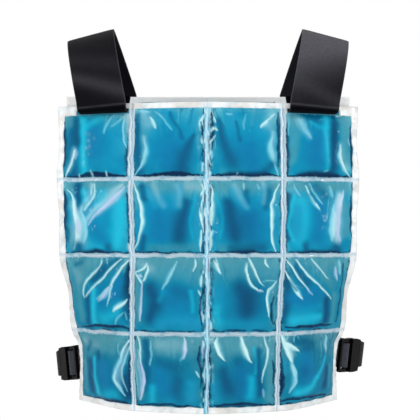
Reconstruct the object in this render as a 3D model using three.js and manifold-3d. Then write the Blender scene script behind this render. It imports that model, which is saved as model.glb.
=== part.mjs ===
// Cooling vest: a front and a back panel of welded clear film with square gel cells, two wide shoulder
// straps and two buckled side straps. Millimetres, +Z up, and the front faces -Y. The origin is midway
// between the shoulders, level with the underside of the straps where they cross them. Left is the -X side.
import * as THREE from "three";
import { mergeVertices } from "three/addons/utils/BufferGeometryUtils.js";
import Module from "manifold-3d";

const wasm = await Module();
wasm.setup();

// Panels, measured flat
const PANEL_HALF_WIDTH = 185.5;
const PANEL_HEIGHT = 377;
const COLUMN_PITCH = 91;
const SIDE_WELD = 8.8;
const TOP_WELD = 7.2;
const BOTTOM_WELD = 7.7;
const COLUMN_WELD = 8;
const ROW_WELD = 6;
const SLOT_BAND = 7.2; // how much lower the outer columns start, to leave room for the strap slots
const FILM = 1.2; // two layers welded together
const SIDE_SCALLOP = 2.4; // how far a full cell draws the side edge in at its middle
const BULGE_OUT = 9.5;
const BULGE_IN = 6.5;
const FULLNESS = 0.55; // exponent of the pillow section: small is full with steep sides
const SAG = 0.3; // how much fuller than its top the foot of a cell is
const CLEARANCE = 0.3;

// How the panels stand round the body
const FRONT_DEPTH = 100;
const BACK_DEPTH = 137;
const FRONT_TOP = -88.8;
const BACK_TOP = -71.4;
const BEND_START = 0.38; // shares of the half width between which the sheet turns round the body
const BEND_END = 0.67;
const LIFT_POWER = 1.5;

// Shoulder straps
const STRAP_WIDTH = 60;
const STRAP_THICKNESS = 2.5;
const STRAP_INSET = PANEL_HALF_WIDTH - 58; // from the middle of the front panel to the middle of the strap, along the film
const BACK_INSET = PANEL_HALF_WIDTH - 61.5;
const CREST_X = PANEL_HALF_WIDTH - 38;
const CREST_DROP = 1.5; // of the middle of the strap's crest below the origin's level
const CREST_TILT = 14.4; // degrees that the shoulder falls outwards
const ARCH_POWER = 1.18; // 1 is an ellipse over the shoulder, and more makes its legs straighter
const SLOT_BAR = 7; // film between the top edge and the slot
const SLOT_HEIGHT = 4.8;
const SLOT_SIDE_ROOM = 1.5;
const SLOT_OUTER_ROOM = 5;
const TAIL_RISE = 9; // how far the turned-back end stands above the front panel
const TAIL_STANDOFF = 3.6;
const TAIL_LEAN = 3.4;
const LOOP_STANDOFF = 14; // how far the strap bows out in front of the film
const SEWN_OVERLAP = 11.5;

// Side straps and buckles
const WEBBING_WIDTH = 30;
const WEBBING_THICKNESS = 1.8;
const TAB = 7; // length of webbing bonded behind the side weld
const TAB_STANDOFF = 0.9; // between the film and the webbing behind it
const TAB_FREE = 4.5; // from the film's edge to the buckle
const BUCKLE_WIDTH = 42;
const BUCKLE_END_WIDTH = 38;
const RAIL = 4;
const BAR = 4;
const WEB_SLOT = 4.6;
const FIRST_WINDOW = 8;
const PLUG_THICKNESS = 4;
const PRONG_LENGTH = 15;
const PRONG_WIDTH = 4.6;
const GUIDE_WIDTH = 5;
const SOCKET_THICKNESS = 10;
const SOCKET_SHOULDER = 10;
const SWEEP_START = 0.3; // how long the side strap keeps its heading behind the buckle, as a share of the way
const SWEEP_END = 0.45; // and before the back panel
const CHAMFER = 2;

// Mesh steps
const FRONT_STEPS = 6;
const BACK_STEPS = 5;
const WRAP_STEPS = 24;
const LEG_STEPS = 9;
const HOOK_STEPS = 3;
const SWEEP_STEPS = 6;
const PROBE = 0.5; // distance between the neighbours that give a surface its slope

// Levels of a panel, top to bottom. share is of the panel's height, turn the degrees that the side edge has
// turned round the body. setback and lift are shares of the panel's height: how far the sheet stands back from
// its fullest level, and how far its side edges are raised. left, middle and right place the three column
// welds, in column pitches from the middle of the panel.
const FRONT_LEVELS = [
  { share: 0.0, turn: 14, setback: 0.048, lift: -0.013, left: -1.01, middle: -0.01, right: 0.99 },
  { share: 0.246, turn: 13, setback: 0.013, lift: -0.005, left: -1.02, middle: -0.02, right: 1.0 },
  { share: 0.492, turn: 19.5, setback: 0.0, lift: 0.0, left: -1.0, middle: -0.01, right: 0.99 },
  { share: 0.6, turn: 31, setback: 0.0, lift: 0.001, left: -1.0, middle: -0.01, right: 0.96 },
  { share: 0.744, turn: 38.5, setback: 0.005, lift: 0.007, left: -1.0, middle: -0.01, right: 0.93 },
  { share: 0.8, turn: 46, setback: 0.008, lift: 0.011, left: -1.0, middle: -0.01, right: 0.92 },
  { share: 1.0, turn: 47, setback: 0.021, lift: 0.029, left: -0.98, middle: -0.02, right: 0.91 },
];
const BACK_LEVELS = [
  { share: 0.0, turn: 4, setback: 0.085, lift: 0.0, left: -1.0, middle: 0.0, right: 1.0 },
  { share: 0.246, turn: 10, setback: 0.037, lift: 0.0, left: -1.0, middle: 0.0, right: 1.0 },
  { share: 0.492, turn: 24, setback: 0.011, lift: 0.0, left: -1.0, middle: 0.0, right: 1.0 },
  { share: 0.744, turn: 40, setback: 0.0, lift: 0.008, left: -1.0, middle: 0.0, right: 1.0 },
  { share: 1.0, turn: 47, setback: 0.008, lift: 0.027, left: -1.0, middle: 0.0, right: 1.0 },
];
const ROW_WELDS = [0.246, 0.492, 0.744]; // middles of the welds between rows, as shares of the height

// The main folds of the front cells. Each runs from one place in its cell to another, in shares of the cell
// from its top left corner. height and width are shares of the bulge and of the cell, and a negative height
// is a groove.
const FOLDS = [
  { row: 0, column: 0, fromU: 0.95, fromV: 0.0, toU: 0.65, toV: 0.35, height: 0.14, width: 0.12 },
  { row: 0, column: 1, fromU: 0.1, fromV: 0.95, toU: 0.2, toV: 0.4, height: 0.12, width: 0.12 },
  { row: 0, column: 2, fromU: 0.9, fromV: 0.1, toU: 0.7, toV: 0.35, height: 0.1, width: 0.12 },
  { row: 0, column: 3, fromU: 0.95, fromV: 0.95, toU: 0.8, toV: 0.5, height: 0.12, width: 0.12 },
  { row: 1, column: 0, fromU: 0.95, fromV: 0.05, toU: 0.3, toV: 0.55, height: 0.18, width: 0.14 },
  { row: 1, column: 1, fromU: 0.05, fromV: 0.05, toU: 0.12, toV: 0.9, height: 0.16, width: 0.12 },
  { row: 1, column: 2, fromU: 0.95, fromV: 0.05, toU: 0.88, toV: 0.9, height: 0.16, width: 0.12 },
  { row: 1, column: 3, fromU: 0.9, fromV: 0.1, toU: 0.7, toV: 0.85, height: 0.18, width: 0.14 },
  { row: 2, column: 0, fromU: 0.95, fromV: 0.05, toU: 0.35, toV: 0.6, height: 0.22, width: 0.12 },
  { row: 2, column: 1, fromU: 0.2, fromV: 0.0, toU: 0.12, toV: 0.75, height: 0.16, width: 0.12 },
  { row: 2, column: 2, fromU: 0.55, fromV: 0.0, toU: 0.85, toV: 0.5, height: 0.18, width: 0.12 },
  { row: 2, column: 3, fromU: 0.1, fromV: 0.05, toU: 0.7, toV: 0.6, height: 0.22, width: 0.12 },
  { row: 3, column: 0, fromU: 0.95, fromV: 0.05, toU: 0.7, toV: 0.75, height: 0.2, width: 0.13 },
  { row: 3, column: 1, fromU: 0.1, fromV: 0.05, toU: 0.15, toV: 0.8, height: 0.16, width: 0.12 },
  { row: 3, column: 2, fromU: 0.5, fromV: 0.0, toU: 0.62, toV: 0.4, height: 0.16, width: 0.12 },
  { row: 3, column: 3, fromU: 0.12, fromV: 0.0, toU: 0.25, toV: 0.85, height: 0.22, width: 0.13 },
];

const FRONT = {
  name: "front",
  facing: -1,
  depth: FRONT_DEPTH,
  top: FRONT_TOP,
  levels: FRONT_LEVELS,
  steps: FRONT_STEPS,
  folds: FOLDS,
};
const BACK = {
  name: "back",
  facing: 1,
  depth: BACK_DEPTH,
  top: BACK_TOP,
  levels: BACK_LEVELS,
  steps: BACK_STEPS,
  folds: [],
};
// strap is the share of the panel's height at which the side strap leaves it, turn the degrees that its buckle
// turns further round the body than the film's edge, and droop the degrees that its far end hangs down.
const SIDES = [
  { name: "left", sign: -1, strap: 0.867, turn: 14, droop: 10 },
  { name: "right", sign: 1, strap: 0.841, turn: 9, droop: 6 },
];

const MATERIALS = {
  film: new THREE.MeshStandardMaterial({ color: 0xdfe8ea, roughness: 0.15, metalness: 0 }),
  gel: new THREE.MeshStandardMaterial({ color: 0x0a7fae, roughness: 0.12, metalness: 0 }),
  strap: new THREE.MeshStandardMaterial({ color: 0x202124, roughness: 0.7, metalness: 0 }),
  webbing: new THREE.MeshStandardMaterial({ color: 0x1a1b1d, roughness: 0.8, metalness: 0 }),
  buckle: new THREE.MeshStandardMaterial({ color: 0x121214, roughness: 0.35, metalness: 0 }),
};

// One column of a table of levels at a share of the height, on a smooth curve through its rows.
function level(levels, column, share) {
  const at = THREE.MathUtils.clamp(share, 0, 1);
  const next = Math.max(1, levels.findIndex((row) => row.share >= at));
  const a = levels[next - 1];
  const b = levels[next];
  const before = levels[next - 2] ?? a;
  const after = levels[next + 1] ?? b;
  const span = b.share - a.share;
  const slopeA = (span * (b[column] - before[column])) / (b.share - before.share);
  const slopeB = (span * (after[column] - a[column])) / (after.share - a.share);
  const x = (at - a.share) / span;
  const rise = x * x * (3 - 2 * x);
  const bendA = x * (1 - x) * (1 - x);
  const bendB = x * x * (x - 1);
  return a[column] + rise * (b[column] - a[column]) + bendA * slopeA + bendB * slopeB;
}

// How far across and how far back a point s along the film comes to lie, once the sheet has turned.
function wrapped(s, turn) {
  const step = s / WRAP_STEPS;
  let across = 0;
  let back = 0;
  for (let i = 0; i < WRAP_STEPS; i++) {
    const out = Math.abs(step * (i + 0.5)) / PANEL_HALF_WIDTH;
    const angle = turn * THREE.MathUtils.smoothstep(out, BEND_START, BEND_END);
    across += step * Math.cos(angle);
    back += Math.abs(step) * Math.sin(angle);
  }
  return { across, back };
}

// The middle of the film at s across and t down from the top edge.
function sheetPoint(panel, s, t) {
  const share = t / PANEL_HEIGHT;
  const turn = THREE.MathUtils.degToRad(level(panel.levels, "turn", share));
  const { across, back } = wrapped(s, turn);
  const setback = level(panel.levels, "setback", share) * PANEL_HEIGHT;
  const lift = level(panel.levels, "lift", share) * PANEL_HEIGHT * (Math.abs(s) / PANEL_HALF_WIDTH) ** LIFT_POWER;
  return new THREE.Vector3(across, panel.facing * (panel.depth - setback - back), panel.top - t + lift);
}

// The same place, moved out from the film by a distance away from the body.
function panelPoint(panel, s, t, out) {
  const across = sheetPoint(panel, s + PROBE, t).sub(sheetPoint(panel, s - PROBE, t));
  const down = sheetPoint(panel, s, t + PROBE).sub(sheetPoint(panel, s, t - PROBE));
  const away = across.cross(down).normalize().multiplyScalar(panel.facing);
  return sheetPoint(panel, s, t).addScaledVector(away, out);
}

// Turns a closed geometry's faces outwards.
function facingOut(geometry) {
  const at = geometry.getAttribute("position");
  const index = geometry.index.array;
  const [a, b, c] = [new THREE.Vector3(), new THREE.Vector3(), new THREE.Vector3()];
  let volume = 0;
  for (let i = 0; i < index.length; i += 3) {
    [a, b, c].forEach((corner, k) => corner.fromBufferAttribute(at, index[i + k]));
    volume += a.dot(b.cross(c));
  }
  if (volume < 0) index.reverse();
  return geometry;
}

// A closed sheet on a grid. point(i, j, side) is a node of its outer face for side 1, or inner face for -1.
function slab(columns, rows, point, filled = () => true) {
  const positions = [];
  const index = [];
  const id = (i, j, side) => 2 * (i * (rows + 1) + j) + (side > 0 ? 0 : 1);
  const quad = (a, b, c, d) => index.push(a, b, c, a, c, d);
  const solid = (i, j) => i >= 0 && j >= 0 && i < columns && j < rows && filled(i, j);
  for (let i = 0; i <= columns; i++)
    for (let j = 0; j <= rows; j++)
      for (const side of [1, -1]) positions.push(...point(i, j, side).toArray());
  for (let i = 0; i < columns; i++)
    for (let j = 0; j < rows; j++) {
      if (!solid(i, j)) continue;
      quad(id(i, j, 1), id(i + 1, j, 1), id(i + 1, j + 1, 1), id(i, j + 1, 1));
      quad(id(i, j, -1), id(i, j + 1, -1), id(i + 1, j + 1, -1), id(i + 1, j, -1));
      if (!solid(i - 1, j)) quad(id(i, j, 1), id(i, j + 1, 1), id(i, j + 1, -1), id(i, j, -1));
      if (!solid(i + 1, j)) quad(id(i + 1, j + 1, 1), id(i + 1, j, 1), id(i + 1, j, -1), id(i + 1, j + 1, -1));
      if (!solid(i, j - 1)) quad(id(i + 1, j, 1), id(i, j, 1), id(i, j, -1), id(i + 1, j, -1));
      if (!solid(i, j + 1)) quad(id(i, j + 1, 1), id(i + 1, j + 1, 1), id(i + 1, j + 1, -1), id(i, j + 1, -1));
    }
  const geometry = new THREE.BufferGeometry();
  geometry.setAttribute("position", new THREE.Float32BufferAttribute(positions, 3));
  geometry.setIndex(index);
  return facingOut(geometry);
}

// A strap of even thickness, on rows of points along its middle surface.
function band(rows, thickness) {
  const last = rows.length - 1;
  const width = rows[0].length - 1;
  const point = (i, j, side) => {
    const along = rows[Math.min(i + 1, last)][j].clone().sub(rows[Math.max(i - 1, 0)][j]);
    const across = rows[i][Math.min(j + 1, width)].clone().sub(rows[i][Math.max(j - 1, 0)]);
    const normal = along.cross(across).normalize();
    return rows[i][j].clone().addScaledVector(normal, (side * thickness) / 2);
  };
  return slab(last, width, point);
}

function solid(geometry) {
  const bare = new THREE.BufferGeometry();
  bare.setAttribute("position", geometry.getAttribute("position"));
  bare.setIndex(geometry.index);
  const merged = mergeVertices(bare, 1e-4);
  return new wasm.Manifold(
    new wasm.Mesh({
      numProp: 3,
      vertProperties: merged.getAttribute("position").array,
      triVerts: new Uint32Array(merged.index.array),
    }),
  );
}

function geometryOf(manifold) {
  const mesh = manifold.getMesh();
  const geometry = new THREE.BufferGeometry();
  geometry.setAttribute("position", new THREE.Float32BufferAttribute(mesh.vertProperties, 3));
  geometry.setIndex(Array.from(mesh.triVerts));
  return geometry;
}

function cut(geometry, ...cutters) {
  return geometryOf(cutters.reduce((left, cutter) => left.subtract(solid(cutter)), solid(geometry)));
}

function named(name, geometry, material) {
  const mesh = new THREE.Mesh(geometry, material);
  mesh.name = name;
  return mesh;
}

// Both edges of every weld across a panel at t, left to right.
function columnLines(panel, t) {
  const share = t / PANEL_HEIGHT;
  const rowEnds = [0, ...ROW_WELDS, 1];
  const row = Math.max(1, rowEnds.findIndex((end) => end >= share)) - 1;
  const inRow = (share - rowEnds[row]) / (rowEnds[row + 1] - rowEnds[row]);
  const edge = PANEL_HALF_WIDTH - SIDE_SCALLOP * Math.sin(Math.PI * inRow) ** 2;
  const cells = PANEL_HALF_WIDTH - SIDE_WELD;
  const welds = ["left", "middle", "right"].map((name) => level(panel.levels, name, share) * COLUMN_PITCH);
  const inner = welds.flatMap((middle) => [middle - COLUMN_WELD / 2, middle + COLUMN_WELD / 2]);
  return [-edge, -cells, ...inner, cells, edge];
}

// Both edges of every weld down a panel, top to bottom. The outer columns start lower.
function rowLines(outer) {
  const first = TOP_WELD + (outer ? SLOT_BAND : 0);
  const inner = ROW_WELDS.flatMap((share) => [
    share * PANEL_HEIGHT - ROW_WELD / 2,
    share * PANEL_HEIGHT + ROW_WELD / 2,
  ]);
  return [0, first, ...inner, PANEL_HEIGHT - BOTTOM_WELD, PANEL_HEIGHT];
}

// A place between lines: 1.25 is a quarter of the way from the second line to the third.
function between(lines, place) {
  const i = Math.min(Math.floor(place), lines.length - 2);
  return THREE.MathUtils.lerp(lines[i], lines[i + 1], place - i);
}

const OUTER_LEFT = 2; // places of the lines that bound the outer columns
const OUTER_RIGHT = 7;

// Where the places of a panel's grid lie on its film, as distances across and down.
function onFilm(panel, placeAcross, placeDown) {
  const outer = placeAcross <= OUTER_LEFT || placeAcross >= OUTER_RIGHT;
  const t = between(rowLines(outer), placeDown);
  return { s: between(columnLines(panel, t), placeAcross), t };
}

// The grid places of a panel along one way: welds are one step wide, and cells several.
function gridPlaces(steps) {
  const places = [];
  for (let band = 0; band < 9; band++) {
    const parts = band % 2 ? steps : 1;
    for (let i = 0; i < parts; i++) places.push(band + i / parts);
  }
  return [...places, 9];
}

// The welded film of a panel, with an opening for each cell.
function film(panel) {
  const places = gridPlaces(panel.steps);
  const inCell = (i) => Math.floor(places[i]) % 2 === 1;
  const point = (i, j, side) => {
    const { s, t } = onFilm(panel, places[i], places[j]);
    return panelPoint(panel, s, t, (side * FILM) / 2);
  };
  const last = places.length - 1;
  return slab(last, last, point, (i, j) => !(inCell(i) && inCell(j)));
}

// How far a fold raises the film at a place of its cell: highest on its line, and gone at its width.
function foldHeight(fold, u, v) {
  const alongU = fold.toU - fold.fromU;
  const alongV = fold.toV - fold.fromV;
  const along = ((u - fold.fromU) * alongU + (v - fold.fromV) * alongV) / (alongU ** 2 + alongV ** 2);
  const near = THREE.MathUtils.clamp(along, 0, 1);
  const away = Math.hypot(u - fold.fromU - near * alongU, v - fold.fromV - near * alongV);
  return fold.height * Math.max(0, 1 - away / fold.width);
}

// A gel cell: a pillow that fills its opening in the film.
function cell(panel, row, column) {
  const n = panel.steps;
  const folds = panel.folds.filter((fold) => fold.row === row && fold.column === column);
  const outer = column === 0 || column === 3;
  const rows = rowLines(outer);
  const top = rows[2 * row + 1] + CLEARANCE;
  const foot = rows[2 * row + 2] - CLEARANCE;
  const point = (i, j, side) => {
    const u = i / n;
    const v = j / n;
    const t = THREE.MathUtils.lerp(top, foot, v);
    const lines = columnLines(panel, t);
    const left = lines[2 * column + 1] + CLEARANCE;
    const right = lines[2 * column + 2] - CLEARANCE;
    const pillow = (16 * u * (1 - u) * v * (1 - v)) ** FULLNESS * (1 + SAG * (v - 0.5));
    const raised = folds.reduce((sum, fold) => sum + foldHeight(fold, u, v), 0);
    const bulge = side > 0 ? BULGE_OUT * pillow * (1 + raised) : BULGE_IN * pillow;
    return panelPoint(panel, THREE.MathUtils.lerp(left, right, u), t, side * (FILM / 2 + bulge));
  };
  return slab(n, n, point);
}

// The slot that a shoulder strap hangs the front panel from.
function slotCutter(sign) {
  const inner = STRAP_INSET - STRAP_WIDTH / 2 - SLOT_SIDE_ROOM;
  const outer = STRAP_INSET + STRAP_WIDTH / 2 + SLOT_OUTER_ROOM;
  const point = (i, j, side) =>
    panelPoint(FRONT, sign * THREE.MathUtils.lerp(inner, outer, i / FRONT_STEPS), SLOT_BAR + j * SLOT_HEIGHT, side * FILM);
  return slab(FRONT_STEPS, 1, point);
}

// A shoulder strap: tail up behind the front panel, loop through its slot, over the shoulder and down to the
// back panel, where it is sewn on. across runs from -1 at the strap's inner edge to 1 at its outer edge.
function shoulderStrapRow(sign, across) {
  const half = STRAP_WIDTH / 2;
  const s = sign * (STRAP_INSET + across * half);
  const onFront = (t, out) => panelPoint(FRONT, s, t, out);
  const under = SLOT_BAR + CLEARANCE + STRAP_THICKNESS / 2;
  const hook = new THREE.Path();
  hook.moveTo(-TAIL_RISE, -TAIL_STANDOFF);
  hook.lineTo(under - TAIL_STANDOFF, -TAIL_STANDOFF);
  hook.quadraticCurveTo(under, -TAIL_STANDOFF, under, 0);
  hook.lineTo(under, LOOP_STANDOFF / 3);
  hook.quadraticCurveTo(under, LOOP_STANDOFF, -STRAP_THICKNESS, LOOP_STANDOFF);
  const tail = hook.getPoints(HOOK_STEPS).map(({ x: t, y: out }) => {
    const lean = Math.max(0, (under - t) / (under + TAIL_RISE)) * (out < 0 ? TAIL_LEAN : 0);
    return panelPoint(FRONT, s - sign * lean, t, out);
  });

  const tilt = THREE.MathUtils.degToRad(CREST_TILT);
  const foot = onFront(-STRAP_THICKNESS, LOOP_STANDOFF);
  const flat = FILM / 2 + CLEARANCE + STRAP_THICKNESS / 2;
  const backS = sign * (BACK_INSET + across * half);
  const onBack = (t) => panelPoint(BACK, backS, t, flat);
  const backFoot = onBack(-STRAP_THICKNESS);
  const crest = new THREE.Vector3(
    sign * (CREST_X + across * half * Math.cos(tilt)),
    (foot.y + backFoot.y) / 2,
    STRAP_THICKNESS / 2 - CREST_DROP - across * half * Math.sin(tilt),
  );
  const leg = (from, q) => {
    const angle = (q * Math.PI) / 2;
    const rise = Math.sin(angle) ** ARCH_POWER;
    const reach = Math.cos(angle) ** ARCH_POWER;
    return new THREE.Vector3(
      THREE.MathUtils.lerp(from.x, crest.x, rise),
      THREE.MathUtils.lerp(crest.y, from.y, reach),
      THREE.MathUtils.lerp(from.z, crest.z, rise),
    );
  };
  const shares = Array.from({ length: LEG_STEPS - 1 }, (_, i) => (i + 1) / LEG_STEPS);
  const front = shares.map((q) => leg(foot, q));
  const back = shares.map((q) => leg(backFoot, 1 - q));
  const sewn = [backFoot, onBack(SEWN_OVERLAP / 2), onBack(SEWN_OVERLAP)];
  return [...tail, ...front, crest, ...back, ...sewn];
}

function shoulderStrap(sign) {
  const edges = [-1, 0, 1].map((across) => shoulderStrapRow(sign, across));
  const rows = edges[0].map((_, i) => edges.map((edge) => edge[i]));
  return band(rows, STRAP_THICKNESS);
}

const PLUG_LENGTH = BAR + FIRST_WINDOW + BAR + WEB_SLOT + BAR / 2; // the frame, without its prongs
const SOCKET_START = PLUG_LENGTH + CLEARANCE;
const BAY = PRONG_LENGTH + 2 * CLEARANCE; // depth of the socket's mouth
const SOCKET_LENGTH = BAY + BAR / 2 + WEB_SLOT + BAR;
const BUCKLE_LENGTH = SOCKET_START + SOCKET_LENGTH;
const WINDOW_HALF = BUCKLE_WIDTH / 2 - RAIL;

// A flat plate: its outline lies along and across the strap, and it is centred on the strap's plane.
function plate(outline, thickness) {
  const shape = new THREE.Shape(outline.map(([x, z]) => new THREE.Vector2(x, z)));
  const geometry = new THREE.ExtrudeGeometry(shape, { depth: thickness, bevelEnabled: false });
  geometry.translate(0, 0, -thickness / 2);
  geometry.rotateX(Math.PI / 2);
  return mergeVertices(bareGeometry(geometry));
}

function bareGeometry(geometry) {
  const bare = new THREE.BufferGeometry();
  bare.setAttribute("position", geometry.getAttribute("position"));
  bare.setIndex(geometry.index ?? [...Array(geometry.getAttribute("position").count).keys()]);
  return bare;
}

// Mirrors the upper half of an outline to close it.
function bothSides(upper) {
  return [...upper, ...upper.toReversed().map(([x, z]) => [x, -z])];
}

function buckleBox(x0, x1, z0, z1, thickness) {
  return plate([[x0, z0], [x1, z0], [x1, z1], [x0, z1]], thickness);
}

// The plug: a frame with two web bars, two sprung prongs and a guide between them.
function bucklePlug() {
  const half = BUCKLE_WIDTH / 2;
  const secondBar = BAR + FIRST_WINDOW;
  const secondWindow = secondBar + BAR;
  const outline = bothSides([[0, half - CHAMFER], [CHAMFER, half], [PLUG_LENGTH, half]]);
  const windows = [
    [BAR, secondBar],
    [secondWindow, secondWindow + WEB_SLOT],
  ].map(([start, end]) => buckleBox(start, end, -WINDOW_HALF, WINDOW_HALF, 2 * PLUG_THICKNESS));
  const frame = cut(plate(outline, PLUG_THICKNESS), ...windows);
  const root = PLUG_LENGTH - BAR / 2;
  const tip = PLUG_LENGTH + PRONG_LENGTH;
  const prongOut = WINDOW_HALF - CLEARANCE;
  const prong = [
    [root, prongOut - PRONG_WIDTH],
    [root, prongOut],
    [tip - CHAMFER, prongOut],
    [tip, prongOut - CHAMFER],
    [tip, prongOut - PRONG_WIDTH],
  ];
  const mirrored = prong.map(([x, z]) => [x, -z]).toReversed();
  const guide = buckleBox(root, tip - PRONG_WIDTH, -GUIDE_WIDTH / 2, GUIDE_WIDTH / 2, PLUG_THICKNESS);
  const pieces = [plate(prong, PLUG_THICKNESS), plate(mirrored, PLUG_THICKNESS), guide];
  return geometryOf(pieces.reduce((sum, piece) => sum.add(solid(piece)), solid(frame)));
}

// The socket: a tapered body with a mouth for the prongs, side windows to press them, and a web bar.
function buckleSocket() {
  const half = BUCKLE_WIDTH / 2;
  const endHalf = BUCKLE_END_WIDTH / 2;
  const end = BUCKLE_LENGTH;
  const body = plate(
    bothSides([
      [SOCKET_START, half],
      [SOCKET_START + SOCKET_SHOULDER, half],
      [end - CHAMFER, endHalf],
      [end, endHalf - CHAMFER],
    ]),
    SOCKET_THICKNESS,
  );
  const mouthHeight = PLUG_THICKNESS + 2 * CLEARANCE;
  const mouthEnd = SOCKET_START + BAY;
  const mouth = buckleBox(SOCKET_START - 1, mouthEnd, -WINDOW_HALF, WINDOW_HALF, mouthHeight);
  const windows = [-1, 1].map((sign) => {
    const edges = [sign * (WINDOW_HALF - PRONG_WIDTH / 2), sign * (half + 1)].sort((a, b) => a - b);
    return buckleBox(SOCKET_START + BAY / 3, mouthEnd - BAR / 2, ...edges, mouthHeight);
  });
  const webHalf = WEBBING_WIDTH / 2 + 2 * CLEARANCE;
  const webSlot = buckleBox(end - BAR - WEB_SLOT, end - BAR, -webHalf, webHalf, 2 * SOCKET_THICKNESS);
  const reliefs = [-1, 1].map((sign) => {
    const relief = buckleBox(end - BAR - WEB_SLOT / 2, end + 1, -half, half, SOCKET_THICKNESS);
    return relief.translate(0, (sign * (SOCKET_THICKNESS + PLUG_THICKNESS)) / 2, 0);
  });
  return cut(body, mouth, ...windows, webSlot, ...reliefs);
}

// The frame of a buckle: x along the strap, y away from the body, z across it.
function buckleFrame({ sign, strap, turn: degrees, droop }) {
  const t = strap * PANEL_HEIGHT;
  const s = sign * PANEL_HALF_WIDTH;
  const edge = sheetPoint(FRONT, s, t);
  const heading = edge.clone().sub(sheetPoint(FRONT, s - sign * PROBE, t)).normalize();
  const outward = panelPoint(FRONT, s, t, 1).sub(edge);
  const origin = edge.addScaledVector(heading, TAB_FREE);
  const turn = THREE.MathUtils.degToRad(degrees);
  const x = heading.multiplyScalar(Math.cos(turn)).addScaledVector(outward, -Math.sin(turn)).normalize();
  const z = x.clone().cross(outward).normalize();
  const y = z.clone().cross(x);
  const drop = Math.sign(z.z) * THREE.MathUtils.degToRad(droop);
  const along = x.clone().multiplyScalar(Math.cos(drop)).addScaledVector(z, -Math.sin(drop));
  const across = z.clone().multiplyScalar(Math.cos(drop)).addScaledVector(x, Math.sin(drop));
  return new THREE.Matrix4().makeBasis(along, y, across).setPosition(origin);
}

// Webbing through rows of points given for its two edges.
function webbing(edges) {
  const rows = edges[0].map((a, i) => [a, a.clone().lerp(edges[1][i], 0.5), edges[1][i]]);
  return band(rows, WEBBING_THICKNESS);
}

// Points of webbing in a buckle's frame, for one of its edges, -1 or 1 across.
function inFrame(frame, across, points) {
  return points.map(([x, y]) => new THREE.Vector3(x, y, (across * WEBBING_WIDTH) / 2).applyMatrix4(frame));
}

// Points of webbing bonded behind a panel's side weld, from its end to the film's edge.
function onTab(panel, sign, t, across) {
  const behind = -(FILM / 2 + TAB_STANDOFF + WEBBING_THICKNESS / 2);
  return [-TAB, 0].map((s) =>
    panelPoint(panel, sign * (PANEL_HALF_WIDTH + s), t - (across * WEBBING_WIDTH) / 2, behind),
  );
}

// Webbing bent round a corner, from one direction to another in degrees, seen from the corner.
function roundCorner([x, y], from, to) {
  const radius = CLEARANCE + WEBBING_THICKNESS / 2;
  return [0, 1, 2].map((i) => {
    const angle = THREE.MathUtils.degToRad(THREE.MathUtils.lerp(from, to, i / 2));
    return [x + radius * Math.cos(angle), y + radius * Math.sin(angle)];
  });
}

// Which way a frame's z axis points: 1 is up.
function frameUp(frame) {
  return Math.sign(new THREE.Vector3().setFromMatrixColumn(frame, 2).z);
}

// From behind the front panel's edge and the plug's end bar, up through its window and round its second bar.
function frontWebbing(frame, { sign, strap }) {
  const half = PLUG_THICKNESS / 2;
  const near = BAR + FIRST_WINDOW;
  const far = near + BAR;
  const gap = Math.hypot(FIRST_WINDOW, PLUG_THICKNESS);
  const rise = THREE.MathUtils.radToDeg(
    Math.atan2(PLUG_THICKNESS, FIRST_WINDOW) + Math.asin((2 * CLEARANCE + WEBBING_THICKNESS) / gap),
  );
  const round = [
    ...roundCorner([BAR, -half], -90, rise - 90),
    ...roundCorner([near, half], rise + 90, 90),
    ...roundCorner([far, half], 90, 0),
    ...roundCorner([far, -half], 0, -90),
  ];
  const lie = half + CLEARANCE + WEBBING_THICKNESS / 2;
  const points = [[0, -lie], ...round, [near + CLEARANCE, -lie]];
  const edges = [-1, 1].map((across) => [
    ...onTab(FRONT, sign, strap * PANEL_HEIGHT, across * frameUp(frame)),
    ...inFrame(frame, across, points),
  ]);
  return webbing(edges);
}

// From inside the socket's end bar, round it through the slot and on to the back panel's side weld.
function backWebbing(frame, { sign, strap }) {
  const half = PLUG_THICKNESS / 2;
  const near = BUCKLE_LENGTH - BAR;
  const lie = half + CLEARANCE + WEBBING_THICKNESS / 2;
  const start = [
    [BUCKLE_LENGTH, -lie],
    ...roundCorner([near, -half], 270, 180),
    ...roundCorner([near, half], 180, 90),
    [BUCKLE_LENGTH, lie],
  ];
  const edges = [-1, 1].map((across) => {
    const from = inFrame(frame, across, start);
    const end = onTab(BACK, sign, strap * PANEL_HEIGHT + BACK_TOP - FRONT_TOP, across * frameUp(frame)).toReversed();
    const leave = from.at(-1).clone().sub(from.at(-2)).normalize();
    const arrive = end[1].clone().sub(end[0]).normalize();
    const reach = from.at(-1).distanceTo(end[0]);
    const sweep = new THREE.CubicBezierCurve3(
      from.at(-1),
      from.at(-1).clone().addScaledVector(leave, reach * SWEEP_START),
      end[0].clone().addScaledVector(arrive, -reach * SWEEP_END),
      end[0],
    );
    return [...from, ...sweep.getPoints(SWEEP_STEPS).slice(1, -1), ...end];
  });
  return webbing(edges);
}

function panelMeshes(panel) {
  const slots = panel === FRONT ? SIDES.map(({ sign }) => slotCutter(sign)) : [];
  const sheet = slots.length ? cut(film(panel), ...slots) : film(panel);
  const meshes = [named(`${panel.name}_panel_film`, sheet, MATERIALS.film)];
  for (let row = 0; row < 4; row++)
    for (let column = 0; column < 4; column++)
      meshes.push(named(`${panel.name}_cell_${row + 1}_${column + 1}`, cell(panel, row, column), MATERIALS.gel));
  return meshes;
}

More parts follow.
